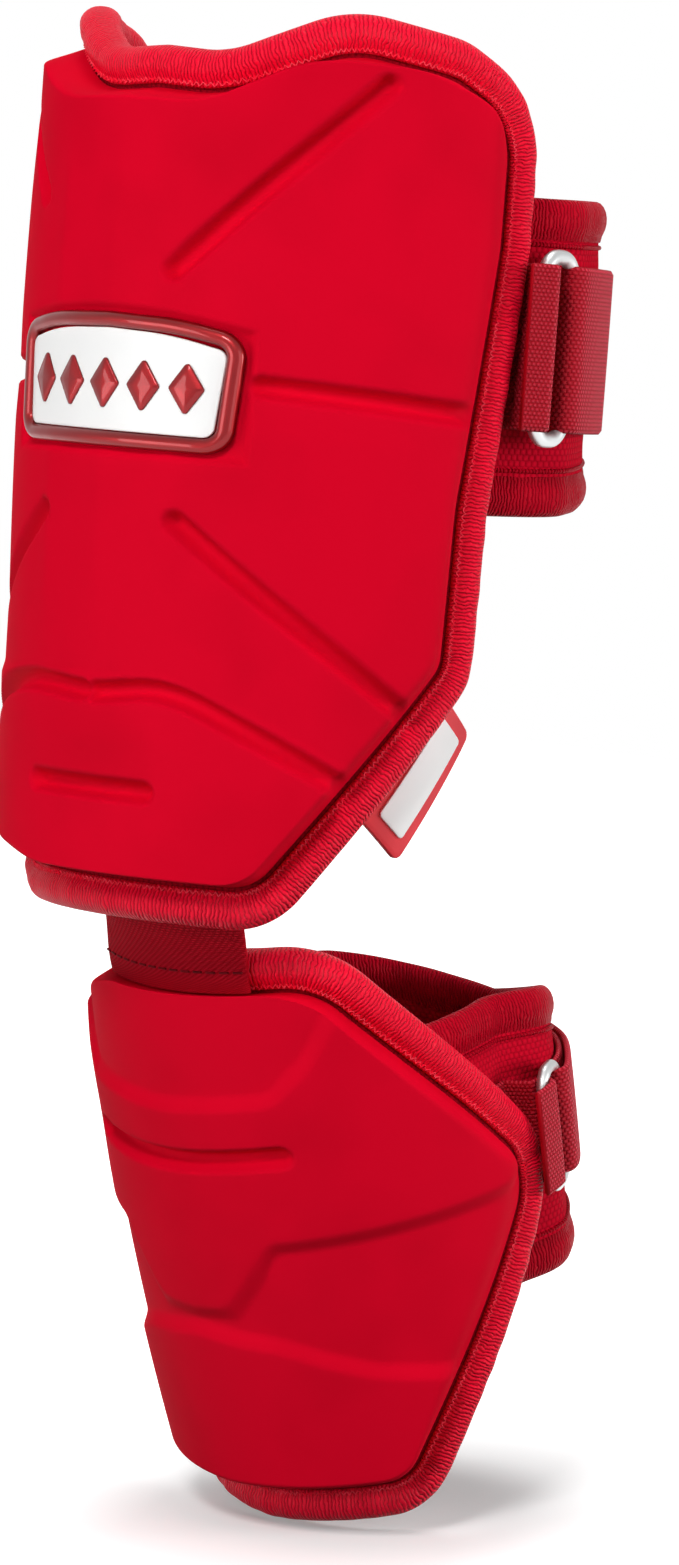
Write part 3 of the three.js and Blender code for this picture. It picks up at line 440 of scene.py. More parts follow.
red = {
    "cap": (0.72, 0.0006, 0.019), "capShade": (0.64, 0.0005, 0.016),
    # the edge tape's second colour is painted shade, between its ribs and on its flange beside the cap
    "tape": (0.98, 0.003, 0.034), "tapePaintedShade": (0.60, 0.000, 0.016), "thread": (0.95, 0.06, 0.10),
    "threadShade": (0.98, 0.003, 0.034),
    # the strap tape's second colour is painted shade, in the same places
    "strapTape": (0.54, 0.001, 0.016), "strapTapePaintedShade": (0.32, 0.000, 0.008), "seam": (0.18, 0.000, 0.005),
    "seamShade": (0.10, 0.000, 0.003),
    # the meshes' second colours are painted shade in their holes
    "lining": (0.34, 0.001, 0.010), "liningPaintedShade": (0.20, 0.000, 0.006),
    "strapCloth": (0.66, 0.002, 0.022), "strapClothPaintedShade": (0.42, 0.000, 0.012),
    # the webbing's second colour is a painted sheen on the float crowns at grazing angles
    "webbing": (0.40, 0.001, 0.010), "webbingSheen": (0.86, 0.060, 0.110),
    # the elastic's second colour is a painted highlight on the float crowns
    "elastic": (0.38, 0.000, 0.008), "elasticCrownHighlight": (0.64, 0.008, 0.026),
    "chrome": (0.20, 0.002, 0.004), "rubber": (0.80, 0.020, 0.035),
    "rubberShade": (0.60, 0.012, 0.022),
}


def cloudedFinish(name, first, second, roughness, gloss, scales, clouds, depth, strength):
    # one tone clouding over into another between two noise levels, with a fine grain
    finish = Finish(name, first, roughness, Specular_IOR_Level=gloss)
    tone = finish.place(grain, "Object", Fine_Scale=scales[0], Cloud_Scale=scales[1])
    finish.paint(finish.blend(first, second, finish.ramp(tone.outputs["Cloud"], *clouds)))
    finish.bump([(tone.outputs["Fine"], depth, strength)])
    return finish.material


def metalFinish(name, color, scales, clouds, strength, **sockets):  # roughness clouds over in the same way
    finish = Finish(name, color, 0.2, **sockets)
    wear = finish.place(grain, "Object", Fine_Scale=scales[0], Cloud_Scale=scales[1])
    finish.tree.links.new(finish.ramp(wear.outputs["Cloud"], *clouds), finish.shader.inputs["Roughness"])
    finish.bump([(wear.outputs["Fine"], 0.00002, strength)])
    return finish.material


def liningFinish(name, color, paintedShade):  # brushed mesh: small holes in rows under a soft nap, with painted shade in the holes
    finish = Finish(name, color, 0.85, Specular_IOR_Level=0.03, Sheen_Weight=0.02, Sheen_Roughness=0.5)
    cloth = finish.place(grain, "Object", Fine_Scale=900.0, Cloud_Scale=60.0)
    mesh = finish.place(weave, "UV", Float_Length=1.5, Row_Width=1.3, Slant=0.5)
    # painted shade: darker in the holes between the floats
    finish.paint(finish.blend(paintedShade, color, mesh.outputs["Height"]))
    finish.bump([(mesh.outputs["Height"], 0.0003, 0.6), (cloth.outputs["Fine"], 0.0003, 0.5)])
    return finish.material


def tapeFinish(name, color, paintedShade, gloss):  # ribbed elastic tape with painted shade: darker in the gaps between its ribs and on the flat flange beside the seam
    finish = Finish(name, color, 0.45, Specular_IOR_Level=gloss)
    rib = finish.place(ribs, "UV", Pitch=0.85, Unevenness=1.8)
    cloth = finish.place(grain, "Object", Fine_Scale=1500.0, Cloud_Scale=80.0)
    place = splitVector(finish.tree, finish.coordinates.outputs["UV"])
    # painted shade in the gaps between the ribs
    ribbed = finish.blend(paintedShade, color, finish.ramp(rib.outputs["Height"], 0.05, 0.6))
    # painted shade on the flat flange, where the tape meets the cap or strap
    finish.paint(finish.blend(paintedShade, ribbed, finish.ramp(place[1], -1.5, 3.0)))
    finish.bump([(rib.outputs["Height"], 0.0005, 0.8), (cloth.outputs["Fine"], 0.0002, 0.4)])
    return finish.material


def webbingFinish():
    finish = Finish("woven webbing", red["webbing"], 0.6, Specular_IOR_Level=0.1)
    thread = finish.place(weave, "UV", Float_Length=1.1, Row_Width=0.9, Slant=0.5)
    # painted sheen: the crowns of the floats are paler where the webbing turns away from the view
    facing = finish.tree.nodes.new("ShaderNodeLayerWeight")
    grazing = finish.ramp(facing.outputs["Facing"], -0.1, 0.75)
    paintedSheen = mathNode(finish.tree, "MULTIPLY", thread.outputs["Crown"], grazing)
    finish.paint(finish.blend(red["webbing"], red["webbingSheen"], paintedSheen))
    finish.bump([(thread.outputs["Height"], 0.0005, 0.8)])
    return finish.material


def elasticFinish():  # twill: each row of floats a quarter on, with a painted highlight on the floats' crowns
    finish = Finish("twill elastic", red["elastic"], 0.75, Specular_IOR_Level=0.05)
    thread = finish.place(weave, "UV", Float_Length=1.6, Row_Width=0.55, Slant=0.25)
    # painted highlight: the crowns of the floats are lighter
    finish.paint(finish.blend(red["elastic"], red["elasticCrownHighlight"], thread.outputs["Crown"]))
    finish.bump([(thread.outputs["Height"], 0.0004, 0.7)])
    return finish.material


finishes = {
    "cap": cloudedFinish("cap cloth", red["cap"], red["capShade"], 0.7, 0.02,
                         (2200.0, 30.0), (0.45, 0.75), 0.00008, 0.35),
    "lining": liningFinish("lining mesh", red["lining"], red["liningPaintedShade"]),
    "strapCloth": liningFinish("strap mesh", red["strapCloth"], red["strapClothPaintedShade"]),
    "binding": tapeFinish("edge tape", red["tape"], red["tapePaintedShade"], 0.10),
    "strapTape": tapeFinish("strap tape", red["strapTape"], red["strapTapePaintedShade"], 0.03),
    "webbing": webbingFinish(), "elastic": elasticFinish(),
    "steel": metalFinish("nickel wire", (0.50, 0.51, 0.51), (900.0, 120.0), (-0.6, 2.2), 0.3, Metallic=1.0),
    "red_chrome": metalFinish("red chrome", red["chrome"], (1200.0, 200.0), (-0.8, 2.4), 0.2, Metallic=0.85,
                              Coat_Weight=0.4, Coat_Roughness=0.08),
    "white_plate": cloudedFinish("white plate", (0.99, 0.99, 0.98), (0.93, 0.93, 0.93), 0.35, 0.3,
                                 (1500.0, 60.0), (0.4, 0.9), 0.00003, 0.2),
    "tag_rubber": cloudedFinish("red rubber", red["rubber"], red["rubberShade"], 0.5, 0.3,
                                (1800.0, 90.0), (0.4, 0.8), 0.00006, 0.4),
}
for key in ("thread", "seam"):
    finishes[key] = cloudedFinish(f"{key} stitches", red[key], red[key + "Shade"], 0.7, 0.1,
                                  (4000.0, 300.0), (0.6, 0.35), 0.0001, 0.5)
print("finishes made:", len(finishes))


# Moulded foam caps

upperRelief = {
    # paths as shares of halfWrap and height
    "grooves": [
        {"path": [(0.153, 0.713), (0.366, 0.82), (0.579, 0.927)]},
        {"path": [(-0.3, 0.787), (-0.366, 0.82), (-0.579, 0.927)]},
        {"mirrored": True, "path": [(0.364, 0.593), (0.6, 0.586), (0.9, 0.575)]},
        {"mirrored": True, "path": [(0.194, 0.44), (0.47, 0.338), (0.8, 0.22)]},
        {"path": [(0.022, 0.247), (0.197, 0.253), (0.38, 0.218), (0.70, 0.14)]},
        {"path": [(-0.022, 0.247), (-0.24, 0.25), (-0.45, 0.22), (-0.70, 0.14)]},
        {"path": [(-0.158, 0.142), (0.158, 0.142)]},
    ],
    # the part above the foot stands back a little
    "fields": [{"sunk": 0.9, "fade": 60.0, "high": [(-1.2, 0.6), (1.2, 0.6)],
                "low": [(-1.2, 0.2), (-0.45, 0.245), (0, 0.247), (0.197, 0.253), (0.38, 0.218),
                        (0.7, 0.14), (1.2, 0)]}],
    # place round the arm, low end and high end
    "ridges": [(-0.17, 0.26, 0.9), (0.0, 0.26, 0.9), (0.17, 0.26, 0.9)],
}

lowerRelief = {
    "grooves": [{"path": [(-0.31, 0.655), (0, 0.65), (0.3, 0.662)]}],
    "ridges": [],
    # sunk fields between an upper and a lower line
    "fields": [
        {"sunk": 1.8, "high": [(-1.2, 1.3), (1.2, 1.3)],
         "low": [(-1.2, 1.3), (-0.56, 0.92), (-0.44, 0.80), (-0.34, 0.742), (0, 0.728), (0.3, 0.742),
                 (0.4, 0.80), (0.52, 0.92), (1.2, 1.3)]},
        {"sunk": 1.8,
         "high": [(-1.2, 0.57), (-0.6, 0.54), (-0.24, 0.52), (-0.15, 0.44), (-0.1, 0.4), (0, 0.395),
                  (0.1, 0.4), (0.15, 0.44), (0.24, 0.52), (0.6, 0.54), (1.2, 0.57)],
         "low": [(-1.2, 0.2), (-0.6, 0.24), (-0.44, 0.262), (-0.22, 0.315), (0, 0.335),
                 (0.22, 0.315), (0.44, 0.262), (0.6, 0.24), (1.2, 0.2)]},
    ],
}

groove = {"floor": 1.2, "mouth": 6.2, "depth": 3.5, "shoulder": 9.0, "shoulderDepth": 0.35}
ridge = {"width": 3.2, "height": 0.4, "fade": 8.0}
sunkField = {"draft": 4.6, "overlap": 0.35}
# of the face: lengths round the arm, then shares of the height
farCorner = {"start": 10.0, "reach": 22.0, "top": 0.7, "topFade": 0.2, "bottom": 0.2, "bottomFade": 0.15}
capWall = {"low": 0.3, "steepness": 1.35, "softness": 0.12}


def distanceTo(path, x, y):  # to the nearest point of a polyline
    nearest = np.full(x.shape, np.inf)
    for (ax, ay), (bx, by) in zip(path[:-1], path[1:]):
        dx, dy = bx - ax, by - ay
        t = np.clip(((x - ax) * dx + (y - ay) * dy) / (dx * dx + dy * dy), 0, 1)
        nearest = np.minimum(nearest, np.hypot(x - ax - t * dx, y - ay - t * dy))
    return nearest


def scaled(shell, path):
    return np.array(path) * (halfWidth(shell), shell["height"])


def belowLine(shell, path, x, y):  # signed distance under a line from left to right, its bends rounded
    dense = alongPath(scaled(shell, path), 600)
    order = np.linspace(dense[0, 0], dense[-1, 0], 600)
    heights = softened(np.interp(order, dense[:, 0], dense[:, 1])[:, None], 6)[:, 0]
    slope = np.gradient(heights, order)
    return (np.interp(x, order, heights) - y) / np.hypot(1, np.interp(x, order, slope))


def reliefDepth(shell, relief, x, y):
    depth = np.zeros(x.shape)
    for line in relief["grooves"]:
        path = scaled(shell, line["path"])
        runs = [path, path * (-1, 1)] if "mirrored" in line else [path]
        for run in runs:
            away = distanceTo(throughPoints(run, 24), x, y)
            channel = 1 - smooth((away - groove["floor"] / 2) / ((groove["mouth"] - groove["floor"]) / 2))
            shoulder = np.exp(-(away / groove["shoulder"]) ** 2)
            depth = np.maximum(depth, groove["depth"] * channel + groove["shoulderDepth"] * shoulder)
    for field in relief["fields"]:
        under = smooth(belowLine(shell, field["high"], x, y) / field.get("fade", sunkField["draft"]))
        over = smooth(-belowLine(shell, field["low"], x, y) / sunkField["draft"])
        sunk = field["sunk"] * under * over
        depth = np.maximum(depth, sunk) + sunkField["overlap"] * np.minimum(depth, sunk)
    for place, low, high in relief["ridges"]:
        up = y / shell["height"]
        along = smooth((up - low) * ridge["fade"]) * smooth((high - up) * ridge["fade"])
        across = np.exp(-((x - place * halfWidth(shell)) / ridge["width"]) ** 2)
        depth = depth - ridge["height"] * along * across
    return depth


def capPiece(shell, relief, columns, rows, carve):
    edge = borderOf(filledPatch(*fourSides(shell, shell["edge"], columns, rows)))
    foot = edge + inwardOf(edge) * (panel["bindingReach"] + panel["capMargin"])
    face = filledPatch(*fourSides(shell, shell["face"], columns, rows))
    # the corners on the far side are rounder
    away = smooth((-face[..., 0] - farCorner["start"]) / farCorner["reach"])
    share = face[..., 1] / shell["height"]
    drop = shell["farTop"] * smooth((share - farCorner["top"]) / farCorner["topFade"])
    drop -= shell["farBottom"] * smooth((farCorner["bottom"] - share) / farCorner["bottomFade"])
    face[..., 1] -= away * drop
    rim, low = borderOf(face), capWall["low"]

    def outAt(p, rise):  # rise is 0 at the foot and 1 on the face
        sunk = reliefDepth(shell, relief, p[..., 0], p[..., 1]) + carve(p[..., 0], p[..., 1])
        return low + (shell["capHeight"] - low - sunk) * rise

    steps = np.array([0, 0.02, 0.08, 0.18, 0.32, 0.46, 0.58, 0.68, 0.76, 0.83, 0.89, 0.94, 0.975, 1.0])
    soft = capWall["softness"]
    slope = -soft * np.log(np.exp(-steps * capWall["steepness"] / soft) + np.exp(-1 / soft))
    rises = slope / slope[-1]
    wall = mix(foot, rim, steps[:, None, None])
    wallPoints = onSheet(shell, wall, outAt(wall, rises[:, None]))
    facePoints = onSheet(shell, face, outAt(face, 1.0))
    middle = np.array([0.0, shell["height"] * 0.5])
    shrink = np.array([1, 0.85, 0.68, 0.5, 0.34, 0.18, 0.0])[:, None, None]
    under = mix(middle, foot, shrink)
    surfaces = [gridSurface(wallPoints, wall, closedAcross=True), gridSurface(facePoints, face),
                gridSurface(onSheet(shell, under, low), under, closedAcross=True)]
    piece = makePiece(f"{shell['name']}_cap_foam", surfaces, "cap")
    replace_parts(piece, f"{shell['name']}_cap")


# Badge

badge = {
    "halfWidth": 29.5, "height": 29.5, "middle": 0.589, "arch": 3.5, "corner": 6.0, "inset": 1.8,
    "frameWidth": 3.4, "frameThickness": 2.6, "plateThickness": 1.5,
    "recess": 1.6, "recessMargin": 1.0, "recessBank": 1.2,
    # where the top edge bends: share of halfWidth, share of arch and radius
    "bend": (0.55, 0.18, 60.0),
    "lozenges": 5, "lozengeWidth": 7.4, "lozengeHeight": 12.0, "lozengePitch": 9.2,
    # share out from its middle, and rise
    "lozengeProfile": [(1, 0), (1, 0.35), (0.93, 0.55), (0.5, 0.85), (0.2, 0.98), (0, 1)],
}


def badgeLoop(grow, count):
    half, tall = badge["halfWidth"] + grow, badge["height"] / 2 + grow
    corner = max(1.0, badge["corner"] + grow)
    bendX, bendDrop, bendRadius = badge["bend"]
    right = [(0, tall, 0), (half * bendX, tall - badge["arch"] * bendDrop, bendRadius),
             (half, tall - badge["arch"], corner), (half - badge["inset"], -tall, corner), (0, -tall, 0)]
    loop = roundedLoop(right + [(-x, y, r) for x, y, r in right[-2:0:-1]], 12)
    return evenLoop(loop + (0, badge["middle"] * upperShell["height"]), count)


def badgeRecess(x, y):  # a shallow bed round the badge with soft banks
    middle = badge["middle"] * upperShell["height"]
    arch = badge["arch"] * (np.abs(x) / badge["halfWidth"]) ** 2 * (y > middle)
    tall, wide = badge["height"] / 2 - arch, badge["halfWidth"]
    inside = badge["recessMargin"] + np.minimum(wide - np.abs(x), tall - np.abs(y - middle))
    return badge["recess"] * smooth((inside / badge["recessBank"] + 1) / 2)


def shrunk(shell, loop, rings):  # the outline again for each (share of its size, move inwards, out)
    centre = loop.mean(axis=0)
    inward = inwardOf(loop)
    share = np.array([r[0] for r in rings])[:, None, None]
    grow = np.array([r[1] for r in rings])[:, None, None]
    out = np.array([r[2] for r in rings])[:, None]
    flat = centre + (loop[None] + inward[None] * grow - centre) * share
    return onSheet(shell, flat, out), flat


def slabPiece(name, shell, loop, low, high, bevel, finish):
    rings = [(share, 0, low) for share in (0, 0.3, 0.6, 0.85, 1)]
    rings += [(1, 0, high - bevel), (1, bevel * 0.3, high - bevel * 0.3), (1, bevel, high)]
    rings += [(share, bevel, high) for share in np.linspace(1, 0, 18)[1:]]
    return makePiece(name, [gridSurface(*shrunk(shell, loop, rings), closedAcross=True)], finish)


def badgePieces():
    floor = upperShell["capHeight"] - badge["recess"] + 0.3
    width, thick = badge["frameWidth"], badge["frameThickness"]
    angle = np.linspace(0, math.pi, 13)
    crest = [(1, width / 2 * (1 - math.cos(a)), floor + thick * (0.35 + 0.65 * math.sin(a))) for a in angle]
    rings = [(1, 0, floor)] + crest + [(1, width, floor)]
    surface = gridSurface(*shrunk(upperShell, badgeLoop(0, 420), rings), closedAcross=True, closedAlong=True)
    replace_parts(makePiece("badge_frame_rim", [surface], "red_chrome"), "badge_frame")
    top = floor + badge["plateThickness"]
    plate = slabPiece("badge_plate_white", upperShell, badgeLoop(-width - 0.15, 360), floor, top, 0.3,
                      "white_plate")
    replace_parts(plate, "badge_plate")
    for index in range(badge["lozenges"]):
        x = (index - (badge["lozenges"] - 1) / 2) * badge["lozengePitch"]
        y = badge["middle"] * upperShell["height"] - badge["arch"] / 4
        w, h = badge["lozengeWidth"] / 2, badge["lozengeHeight"] / 2
        corners = [(x, y + h, 0.6), (x + w, y, 0.6), (x, y - h, 0.6), (x - w, y, 0.6)]
        loop = evenLoop(roundedLoop(corners, 4), 64)
        rings = [(0, 0, top), (0.5, 0, top)]
        rings += [(share, 0, top + rise) for share, rise in badge["lozengeProfile"]]
        surface = gridSurface(*shrunk(upperShell, loop, rings), closedAcross=True)
        lozenge = makePiece(f"badge_mark_{index + 1}", [surface], "red_chrome")
        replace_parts(lozenge, f"badge_lozenge_{index + 1}")


capPiece(upperShell, upperRelief, 250, 270, badgeRecess)
capPiece(lowerShell, lowerRelief, 240, 230, lambda x, y: np.zeros(x.shape))
badgePieces()
print("caps and badge made")


# Padded panels and the tape folded over their edges

tape = {
    # outer half of the folded section: depth from the edge and height over the panel's middle
    "section": [(8.0, 2.2), (7.95, 2.8), (7.4, 3.1), (6.8, 3.2), (6.0, 3.75), (4.8, 4.45), (3.3, 4.7),
                (1.7, 4.3), (0.4, 3.2), (-0.4, 1.7), (-0.6, 0.0)],
    "reach": 8.0, "rise": 4.15, "slot": 2.1, "floor": 1.2,
    "stitchDepth": 7.2, "stitchHeight": 3.2, "stitchSwing": 0.45, "stitchLift": 0.16, "stitchPitch": 1.5,
    "thread": 0.15,
}


def backingPiece(shell, columns, rows):
    border = borderOf(filledPatch(*fourSides(shell, shell["edge"], columns, rows)))
    border = border + inwardOf(border) * panel["inset"]
    c, r = columns, rows
    patch = filledPatch(border[:c + 1], border[c:c + r + 1], border[c + r:2 * c + r + 1][::-1],
                        np.concatenate([border[2 * c + r:], border[:1]])[::-1])
    x, y = patch[..., 0], patch[..., 1]
    soft = 0.25 * np.sin(x / 9.0 + 1.3 * np.sin(y / 17.0)) * np.sin(y / 11.0)      # a slightly uneven inside
    inner, outer = onSheet(shell, patch, soft - panel["thickness"]), onSheet(shell, patch, 0.0)
    rim = np.stack([borderOf(outer), borderOf(inner)])
    surfaces = [gridSurface(outer, patch), gridSurface(inner, patch), gridSurface(rim, closedAcross=True)]
    piece = makePiece(f"{shell['name']}_panel", surfaces, "lining")
    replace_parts(piece, f"{shell['name']}_backing")


def tapeSection(reach, rise, slotHalf, floor, count):  # the folded tape's section, scaled to reach and rise
    half = np.array(tape["section"]) * (reach / tape["reach"], rise / tape["rise"])
    half[0, 1] = slotHalf + 0.1
    outer = throughPoints(np.concatenate([half, (half * (1, -1))[-2::-1]]), count)
    inner = np.array([(reach, -slotHalf), (floor + 0.6, -slotHalf), (floor, -slotHalf * 0.5),
                      (floor, slotHalf * 0.5), (floor + 0.6, slotHalf), (reach, slotHalf)])
    return np.concatenate([outer, inner])


def swept(shell, section, x, y, out, inward, rise, closed):
    # section of (depth, height): depth runs along inward on the sheet, height along rise in x and out
    depth, height = section[None, :, 0], section[None, :, 1]
    points = sheetPoint(shell, x[:, None] + inward[:, :1] * depth + rise[:, :1] * height,
                        y[:, None] + inward[:, 1:] * depth, out[:, None] + rise[:, 1:] * height)
    centre = points.mean(axis=1)
    lengths, around = 1000 * lengthsAlong(centre), lengthsAlong(section)
    around = np.append(around, around[-1] + 1)
    whole = lengths[-1] + 1000 * np.linalg.norm(centre[0] - centre[-1])
    rows = np.append(lengths, whole) if closed else lengths
    surfaces = [gridSurface(points, lengthsUv(rows, around), closedAcross=True, closedAlong=closed)]
    if not closed:
        surfaces += [endCap(points[0]), endCap(points[-1])]
    return surfaces


def zigzag(length):  # distances along the edge's seam, with its offsets to both sides and its lifts
    count = 2 * max(2, round(length / tape["stitchPitch"]))
    along = np.linspace(0, length, count * 3, endpoint=False)
    phase = along / length * count
    uneven = 1 + 0.3 * np.sin(phase * 0.37) * np.sin(phase * 1.3)
    offset = tape["stitchSwing"] * (2 * np.abs((phase / 2) % 1 * 2 - 1) - 1) * uneven
    return along, offset, tape["stitchLift"] * np.cos(phase * 2 * math.pi)


def edgeTapePiece(shell, count):
    loop = edgeLoop(shell, count)
    inward = inwardOf(loop)
    section = tapeSection(panel["bindingReach"], panel["bindingRise"], tape["slot"], tape["floor"], 34)
    station = np.arange(count)
    wobble = 0.025 * np.sin(station * 2 * math.pi / count * 61) + 0.015 * np.sin(station * 0.9)
    rise = np.stack([np.zeros(count), 1 + wobble], axis=1)
    out = np.full(count, -panel["thickness"] / 2)
    surfaces = swept(shell, section, loop[:, 0], loop[:, 1], out, inward, rise, closed=True)
    piece = makePiece(f"{shell['name']}_edge_tape", surfaces, "binding")
    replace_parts(piece, f"{shell['name']}_binding")
    lengths = lengthsAlong(closedUp(loop))
    along, offset, lift = zigzag(lengths[-1])
    side = pointsAt(along, lengths, closedUp(inward))
    flat = pointsAt(along, lengths, closedUp(loop)) + side * (tape["stitchDepth"] + offset)[:, None]
    for face, way in (("outer", 1), ("inner", -1)):
        height = way * (tape["stitchHeight"] + lift) - panel["thickness"] / 2
        thread = tubeSurface(onSheet(shell, flat, height), tape["thread"] * 0.001, 5, True)
        makePiece(f"{shell['name']}_edge_stitch_{face}", thread, "thread")


for shell, fine in ((upperShell, 720), (lowerShell, 560)):
    backingPiece(shell, 110, 120)
    edgeTapePiece(shell, fine)
print("panels and edge tape made")


# Straps: a line in x and out goes round the back of the arm; everything on it is offset square to that line.

strap = {
    "thickness": 3.0, "inset": 1.4, "overlap": 17.0, "bulge": 6.0, "inside": -10.3, "taper": 1.4,
    "tapeReach": 8.5, "tapeRise": 2.5, "tapeSlot": 1.6, "tapeFloor": 0.9, "seam": 0.55, "seamDepth": 9.7,
    "rounding": 0.02, "stations": 420,
}
webbing = {"thickness": 1.5, "rounding": 0.018, "over": 2.65, "pitch": 1.9, "tail": 8.0, "clearance": 0.4,
           "settle": 22.0}


def edgeX(shell, y):
    side = fourSides(shell, shell["edge"], 40, 240)[1]
    return np.interp(-y, -side[:, 1], side[:, 0])


def bandEdges(shell, band):  # lower and upper edge of the strap or of the webbing where it leaves the shell
    middle, half = shell[band + "Middle"] * shell["height"], shell[band + "Width"] / 2
    return middle - half, middle + half


def sideX(shell):
    return max(edgeX(shell, y) for y in np.linspace(*bandEdges(shell, "webbing"), 5))


def farSide(shell, x):
    return degreesToX(shell, 360) - x


def strapOut(shell, x):
    fromFront = np.minimum(x, farSide(shell, x))
    past = fromFront - sideX(shell)
    deep = np.maximum(0, -np.cos(fromFront / meanRadius(shell))) ** 2
    step = smooth((past - 1) / shell["strapStep"])
    return mix(strap["inside"], shell["strapOut"], step) + strap["bulge"] * deep


def strapEdges(shell, x):
    share = smooth((np.minimum(x, farSide(shell, x)) - sideX(shell)) / (meanRadius(shell) * strap["taper"]))
    low, high = bandEdges(shell, "strap")
    return low + shell["strapRise"] * share, high - shell["strapDrop"] * share


def normalsOf(line):
    along = unit(np.gradient(line, axis=0))
    return np.stack([-along[:, 1], along[:, 0]], axis=1)


def strapLine(shell):
    start = min(edgeX(shell, y) for y in bandEdges(shell, "strap")) - strap["overlap"]
    x = np.linspace(start, farSide(shell, start), 3000)
    return alongPath(np.stack([x, strapOut(shell, x)], axis=1), strap["stations"])


def ribbonSurfaces(shell, line, low, high, section, wave=0.0):
    # section: closed loop of (share of the width, height off the line); wave lifts single stations and shares
    rise = normalsOf(line)
    share, height = section[None, :, 0], section[None, :, 1] + wave
    low, high = np.broadcast_to(low, len(line))[:, None], np.broadcast_to(high, len(line))[:, None]
    points = sheetPoint(shell, line[:, :1] + rise[:, :1] * height, mix(low, high, share),
                        line[:, 1:] + rise[:, 1:] * height)
    uv = lengthsUv(lengthsAlong(line), np.append(section[:, 0], section[0, 0]) * np.mean(high - low))
    return [gridSurface(points, uv, closedAcross=True), endCap(points[0]), endCap(points[-1])]


def flatSection(thickness, rounding, count):  # a flat band's section, rounding a share of the width
    across = np.linspace(0, 1, count)
    inside = np.clip(np.minimum(across, 1 - across) / rounding, 0, 1)
    half = thickness / 2 * np.sqrt(np.clip(1 - (1 - inside) ** 2, 0.04, 1))
    return np.concatenate([np.stack([across, half], axis=1), np.stack([across, -half], axis=1)[::-1]])


def strapPieces(shell):
    line = strapLine(shell)
    low, high = strapEdges(shell, line[:, 0])
    section = flatSection(strap["thickness"], strap["rounding"], 61)
    x, share = line[:, :1], section[None, :, 0]
    quilting = 0.35 * np.sin(share * 26 + 0.6 * np.sin(x / 23)) * np.sin(np.pi * share)
    wave = quilting + 0.15 * np.sin(x / 5 + share * 9)
    cloth = ribbonSurfaces(shell, line, low + strap["inset"], high - strap["inset"], section, wave)
    piece = makePiece(f"{shell['name']}_strap_cloth", cloth, "strapCloth")
    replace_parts(piece, f"{shell['name']}_strap")
    rise = normalsOf(line)
    tapeLoop = tapeSection(strap["tapeReach"], strap["tapeRise"], strap["tapeSlot"], strap["tapeFloor"], 26)
    for side, edge, way in (("bottom", low, 1.0), ("top", high, -1.0)):
        inward = np.stack([np.zeros(len(line)), np.full(len(line), way)], axis=1)
        ruffle = 1 + 0.06 * np.sin(line[:, :1] / 1.9) + 0.05 * np.sin(line[:, :1] / 4.7)
        tapePiece = makePiece(f"{shell['name']}_strap_tape_{side}", swept(
            shell, tapeLoop, line[:, 0], edge, line[:, 1], inward, rise * ruffle, closed=False),
            "strapTape")
        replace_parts(tapePiece, f"{shell['name']}_strap_binding_{side}")
        seamOut = strap["thickness"] / 2 + 0.1
        seam = sheetPoint(shell, line[:, 0] + rise[:, 0] * seamOut, edge + way * strap["seamDepth"],
                          line[:, 1] + rise[:, 1] * seamOut)
        makePiece(f"{shell['name']}_strap_seam_{side}", tubeSurface(seam, strap["seam"] * 0.001, 8, False),
                  "strapTape")


# Rings and the webbing that goes through them

def ringPlace(shell):
    y, x = shell["webbingMiddle"] * shell["height"], sideX(shell) + shell["ringAhead"]
    turn = shell["ringWire"] / 2 + webbing["clearance"] + webbing["thickness"] / 2
    lift = strapOut(shell, x + shell["ringWidth"] / 2) + webbing["over"] + turn
    centre = sheetPoint(shell, x, y, lift)
    up = unit(sheetPoint(shell, x, y + 1, lift) - sheetPoint(shell, x, y - 1, lift))
    sideways = unit(np.cross(up, sheetPoint(shell, x, y, lift + 1) - centre))
    reach = (shell["ringWidth"] - shell["ringWire"]) / 2
    radius = radiusAt(shell, y) + lift
    barX = math.atan(reach / radius) * meanRadius(shell)
    return {"centre": centre, "sideways": sideways, "up": up, "reach": reach, "near": x - barX,
            "far": x + barX, "lift": lift + math.hypot(radius, reach) - radius, "turn": turn}


def ringPiece(shell):
    place, corner = ringPlace(shell), 1.6 * shell["ringWire"]
    tall = shell["webbingWidth"] / 2 + 0.5 * shell["ringWire"]
    wide = place["reach"]
    corners = [(wide, -tall, corner), (wide, tall, corner), (-wide, tall, corner), (-wide, -tall, corner)]
    loop = 0.001 * evenLoop(roundedLoop(corners, 10), 160)
    path = place["centre"] + loop[:, :1] * place["sideways"] + loop[:, 1:] * place["up"]
    piece = makePiece(f"{shell['name']}_ring_wire", tubeSurface(path, 0.0005 * shell["ringWire"], 24, True),
                      "steel")
    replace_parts(piece, f"{shell['name']}_ring")


def overStrap(shell, start, end, layer):  # the webbing's line on the strap, over that many other layers
    line = strapLine(shell)
    line = line + normalsOf(line) * (webbing["over"] + layer * webbing["pitch"])
    return line[(line[:, 0] >= start) & (line[:, 0] <= end)]


def turnRound(place, barX, towards):  # from under a bar to over it
    angle = np.linspace(-math.pi / 2, math.pi / 2, 13)
    across, high = place["turn"] * np.cos(angle), place["turn"] * np.sin(angle)
    return np.stack([barX + towards * across, place["lift"] + high], axis=1)


def webbingPiece(name, shell, path, replaced):
    line = softened(alongPath(path, 260), 2)
    section = flatSection(webbing["thickness"], webbing["rounding"], 41)
    surfaces = ribbonSurfaces(shell, line, *bandEdges(shell, "webbing"), section)
    piece = makePiece(name, surfaces, "webbing")
    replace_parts(piece, replaced)


